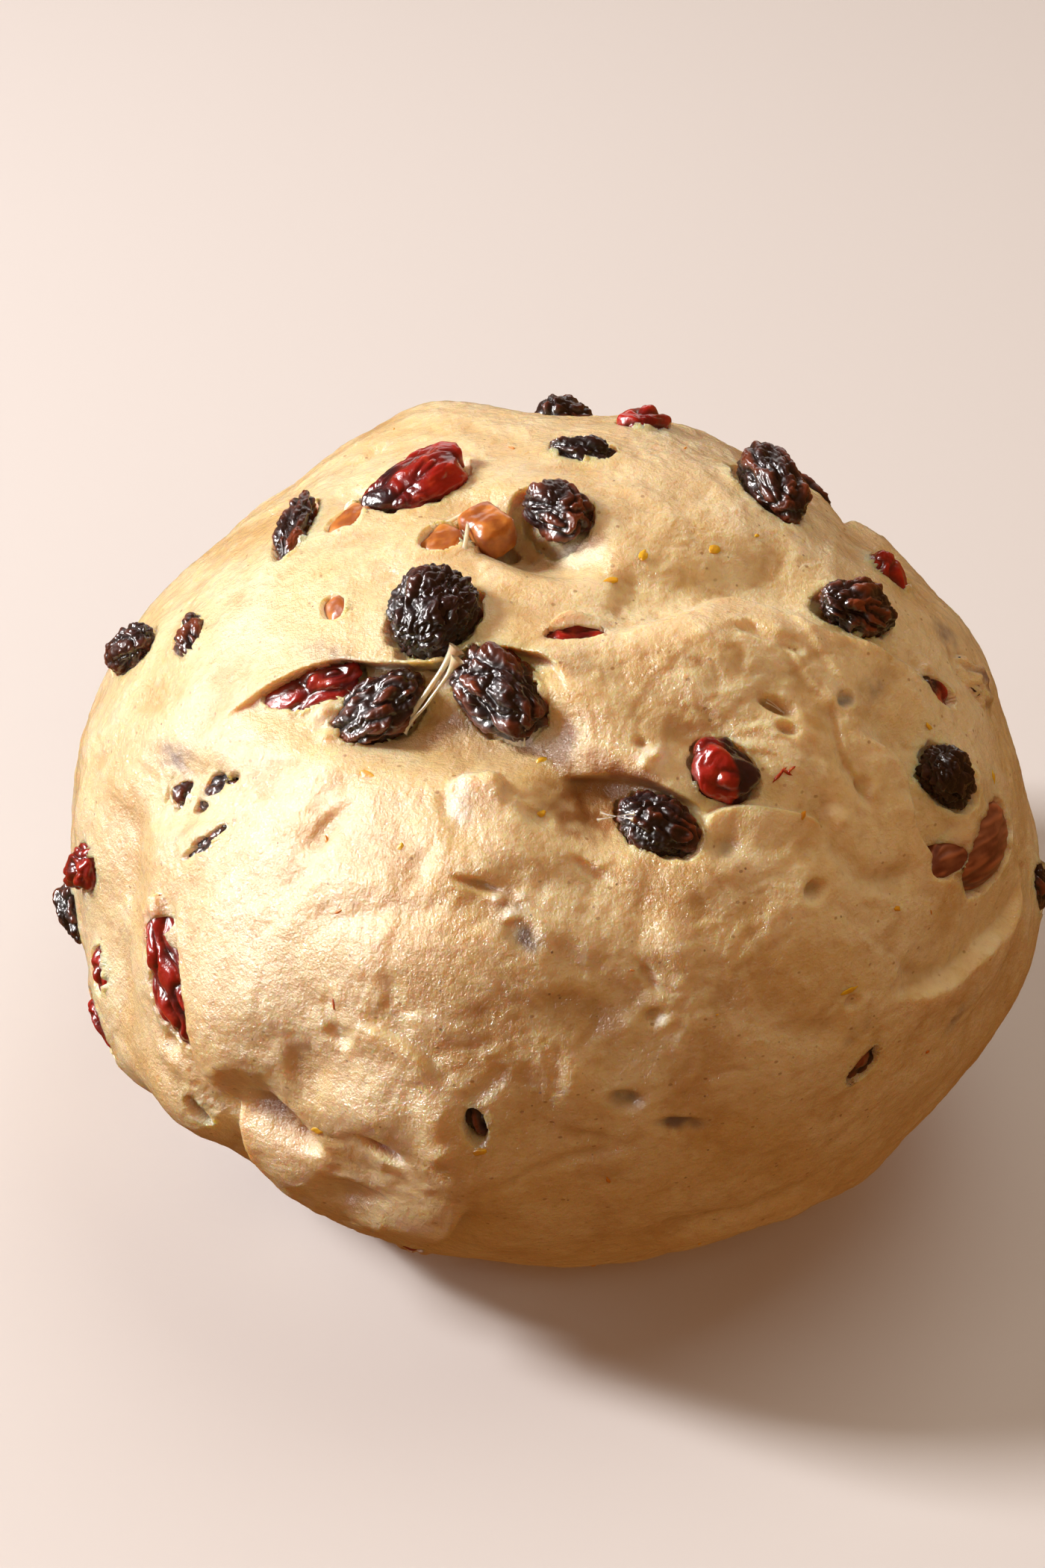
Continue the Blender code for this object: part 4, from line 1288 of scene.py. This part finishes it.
def flake_material():
    material, tree, shader = new_material("flake_looks")
    colour = two_tone(tree, "tint", 0.0, 0.5, (0.86, 0.50, 0.02), (0.72, 0.22, 0.01))
    colour = overlay(tree, colour, "tint", 0.5, 0.95, 1.0, (0.38, 0.02, 0.01))
    colour = overlay(tree, colour, (0.6, 3.0), 0.4, 0.7, 0.4, (0.55, 0.24, 0.04))
    skin = bump(tree, (0.4, 3.0, 0.6), 0.05, 0.6)
    finish_shader(tree, shader, colour, 0.35, skin, 0.5, (0.4, (1.0, 0.4, 0.1), 0.001))
    return material


def raisin_material():
    material, tree, shader = new_material("raisin_looks")
    # painted shade in the wrinkles' grooves, and painted light: the red-brown warmth shows mostly on the ridges
    colour = two_tone(tree, "wrinkle", -0.6, 0.5, (0.006, 0.002, 0.003), (0.030, 0.009, 0.009))
    warm = times(tree, mark_of(tree, "warmth"), ramp(tree, "wrinkle", -0.2, 0.6, 0.15, 1.0))
    colour = overlay(tree, colour, warm, 0.05, 0.8, 1.0, (0.19, 0.038, 0.011))
    colour = overlay(tree, colour, (2.6, 4.0, 0.6), 0.60, 0.85, 0.12, (0.08, 0.045, 0.045))
    skin = bump(tree, (0.40, 4.0, 0.65), 0.08, 0.8)
    rough = ramp(tree, (1.8, 3.0), 0.35, 0.65, 0.26, 0.46)
    finish_shader(tree, shader, colour, rough, skin, 0.4, (0.12, (1.0, 0.25, 0.12), 0.0010), (0.6, 0.08))
    return material


def cranberry_material():
    material, tree, shader = new_material("cranberry_looks")
    # painted shade: darker in the wrinkles' grooves than on their ridges
    colour = two_tone(tree, "wrinkle", -0.4, 0.5, (0.12, 0.004, 0.005), (0.38, 0.016, 0.010))
    colour = overlay(tree, colour, (2.4, 3.0), 0.5, 0.8, 0.8, (0.56, 0.055, 0.016))
    colour = overlay(tree, colour, "dusk", 0.50, 0.85, 0.97, (0.022, 0.008, 0.012))
    skin = bump(tree, (0.7, 3.0, 0.6), 0.16, 0.7)
    finish_shader(tree, shader, colour, 0.26, skin, 0.45, (0.55, (1.0, 0.12, 0.08), 0.0025), (0.5, 0.07))
    return material


def almond_material():
    material, tree, shader = new_material("almond_looks")
    colour = two_tone(tree, "wrinkle", -0.12, 0.14, (0.14, 0.030, 0.012), (0.40, 0.12, 0.045))
    colour = overlay(tree, colour, (4.0, 3.0), 0.4, 0.7, 0.4, (0.42, 0.16, 0.07))
    skin = bump(tree, (0.4, 3.0, 0.6), 0.06, 0.6)
    finish_shader(tree, shader, colour, 0.5, skin, coat=(0.25, 0.25))
    return material


def soft_fruit_material(name, deep, light):
    material, tree, shader = new_material(name)
    colour = two_tone(tree, (2.5, 4.0), 0.35, 0.7, deep, light)
    skin = bump(tree, (0.7, 3.0, 0.6), 0.10, 0.5)
    finish_shader(tree, shader, colour, 0.34, skin, 0.5, (0.6, (1.0, 0.45, 0.15), 0.0025), (0.35, 0.15))
    return material


def fruit_materials():
    return {
        "raisin": raisin_material(),
        "cranberry": cranberry_material(),
        "almond": almond_material(),
        "apricot": soft_fruit_material("apricot_looks", (0.32, 0.085, 0.014), (0.60, 0.22, 0.035)),
        "pale_fruit": soft_fruit_material("pale_fruit_looks", (0.78, 0.56, 0.22), (0.90, 0.78, 0.48)),
    }


# The stage


def build_floor():
    material, tree, shader = new_material("floor")
    finish_shader(tree, shader, FLOOR_COLOUR, 0.6)
    bpy.ops.mesh.primitive_plane_add(size=FLOOR_SIZE)
    floor = bpy.context.object
    floor.name = "floor"
    floor.data.materials.append(material)
    floor.visible_diffuse = False
    floor.visible_glossy = False
    floor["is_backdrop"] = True


def add_light(name, azimuth, elevation, distance, size, power, colour, left_out):
    """A lamp that looks at the ball from a direction."""
    away = direction(azimuth, elevation)
    lamp = bpy.data.lights.new(name, "AREA")
    lamp.shape = "RECTANGLE"
    lamp.size, lamp.size_y = size
    lamp.energy = power
    lamp.color = colour
    obj = bpy.data.objects.new(name, lamp)
    bpy.context.scene.collection.objects.link(obj)
    obj.location = Vector(away * distance) + Vector(HEART) * MM
    obj.rotation_euler = Vector(away).to_track_quat("Z", "Y").to_euler()
    if left_out:
        setattr(obj, left_out, False)


def light_world():
    """Faint warm light from all round, and the pale backdrop that the camera sees."""
    world = bpy.data.worlds.new("studio")
    bpy.context.scene.world = world
    world.use_nodes = True
    tree = world.node_tree
    seen = add_node(tree, "ShaderNodeLightPath", {}).outputs["Is Camera Ray"]
    background = tree.nodes["Background"]
    put(tree, background.inputs["Color"], mix(tree, seen, AMBIENT_LIGHT, BACKDROP))


def place_camera():
    lens = bpy.data.cameras.new("camera")
    lens.lens = CAMERA_LENS
    lens.sensor_width = CAMERA_SENSOR
    lens.sensor_fit = "AUTO"
    lens.clip_start = 0.01
    lens.clip_end = 20.0
    camera = bpy.data.objects.new("camera", lens)
    bpy.context.scene.collection.objects.link(camera)
    camera.location = CAMERA_PLACE
    camera.rotation_euler = (math.radians(90.0 - CAMERA_LOOKS_DOWN), 0.0, 0.0)
    bpy.context.scene.camera = camera
    bpy.context.scene.view_settings.view_transform = "Standard"


# The object


def build_object():
    grid, quads = cube_grid(DOUGH_SQUARES)
    dirs = crowd(grid, CROWDING)
    points, hollow, crest = shape_dough(dirs)
    marks = {name: np.zeros(len(points)) for name in ("dark", "red", "pale")}
    marks["hollow"] = hollow
    marks["crest"] = crest
    stain_dough(dirs, marks)
    looks = fruit_materials()
    for index, row in enumerate(FRUIT_ROWS):
        fruit = fruit_of(row)
        fruit_points, fruit_quads, fruit_marks = shape_fruit(index, fruit)
        settle_fruit(points, marks, fruit, fruit_points, fruit_quads)
        skin = (fruit_points, fruit_quads, fruit_marks, looks[fruit.kind])
        new_piece(fruit.name + "_skin", *skin, (fruit.name,), fruit.kind)
    points[:, 2] = np.maximum(points[:, 2], -HEART[2])
    new_piece("dough_skin", points, quads, marks, dough_material(), ("dough",), "dough")
    strand_points, strand_quads = join([strand_mesh(*strand) for strand in STRANDS])
    new_piece("gluten_strands", strand_points, strand_quads, {}, strand_material(), (), "dough")
    new_piece("peel_flakes", *flake_meshes(points), flake_material(), (), "apricot")


build_object()
build_floor()
for light in LIGHTS:
    add_light(*light)
light_world()
place_camera()

boxes = {name: [list(corner) for corner in box] for name, box in (("cad", CAD_BOX), ("visual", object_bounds()))}
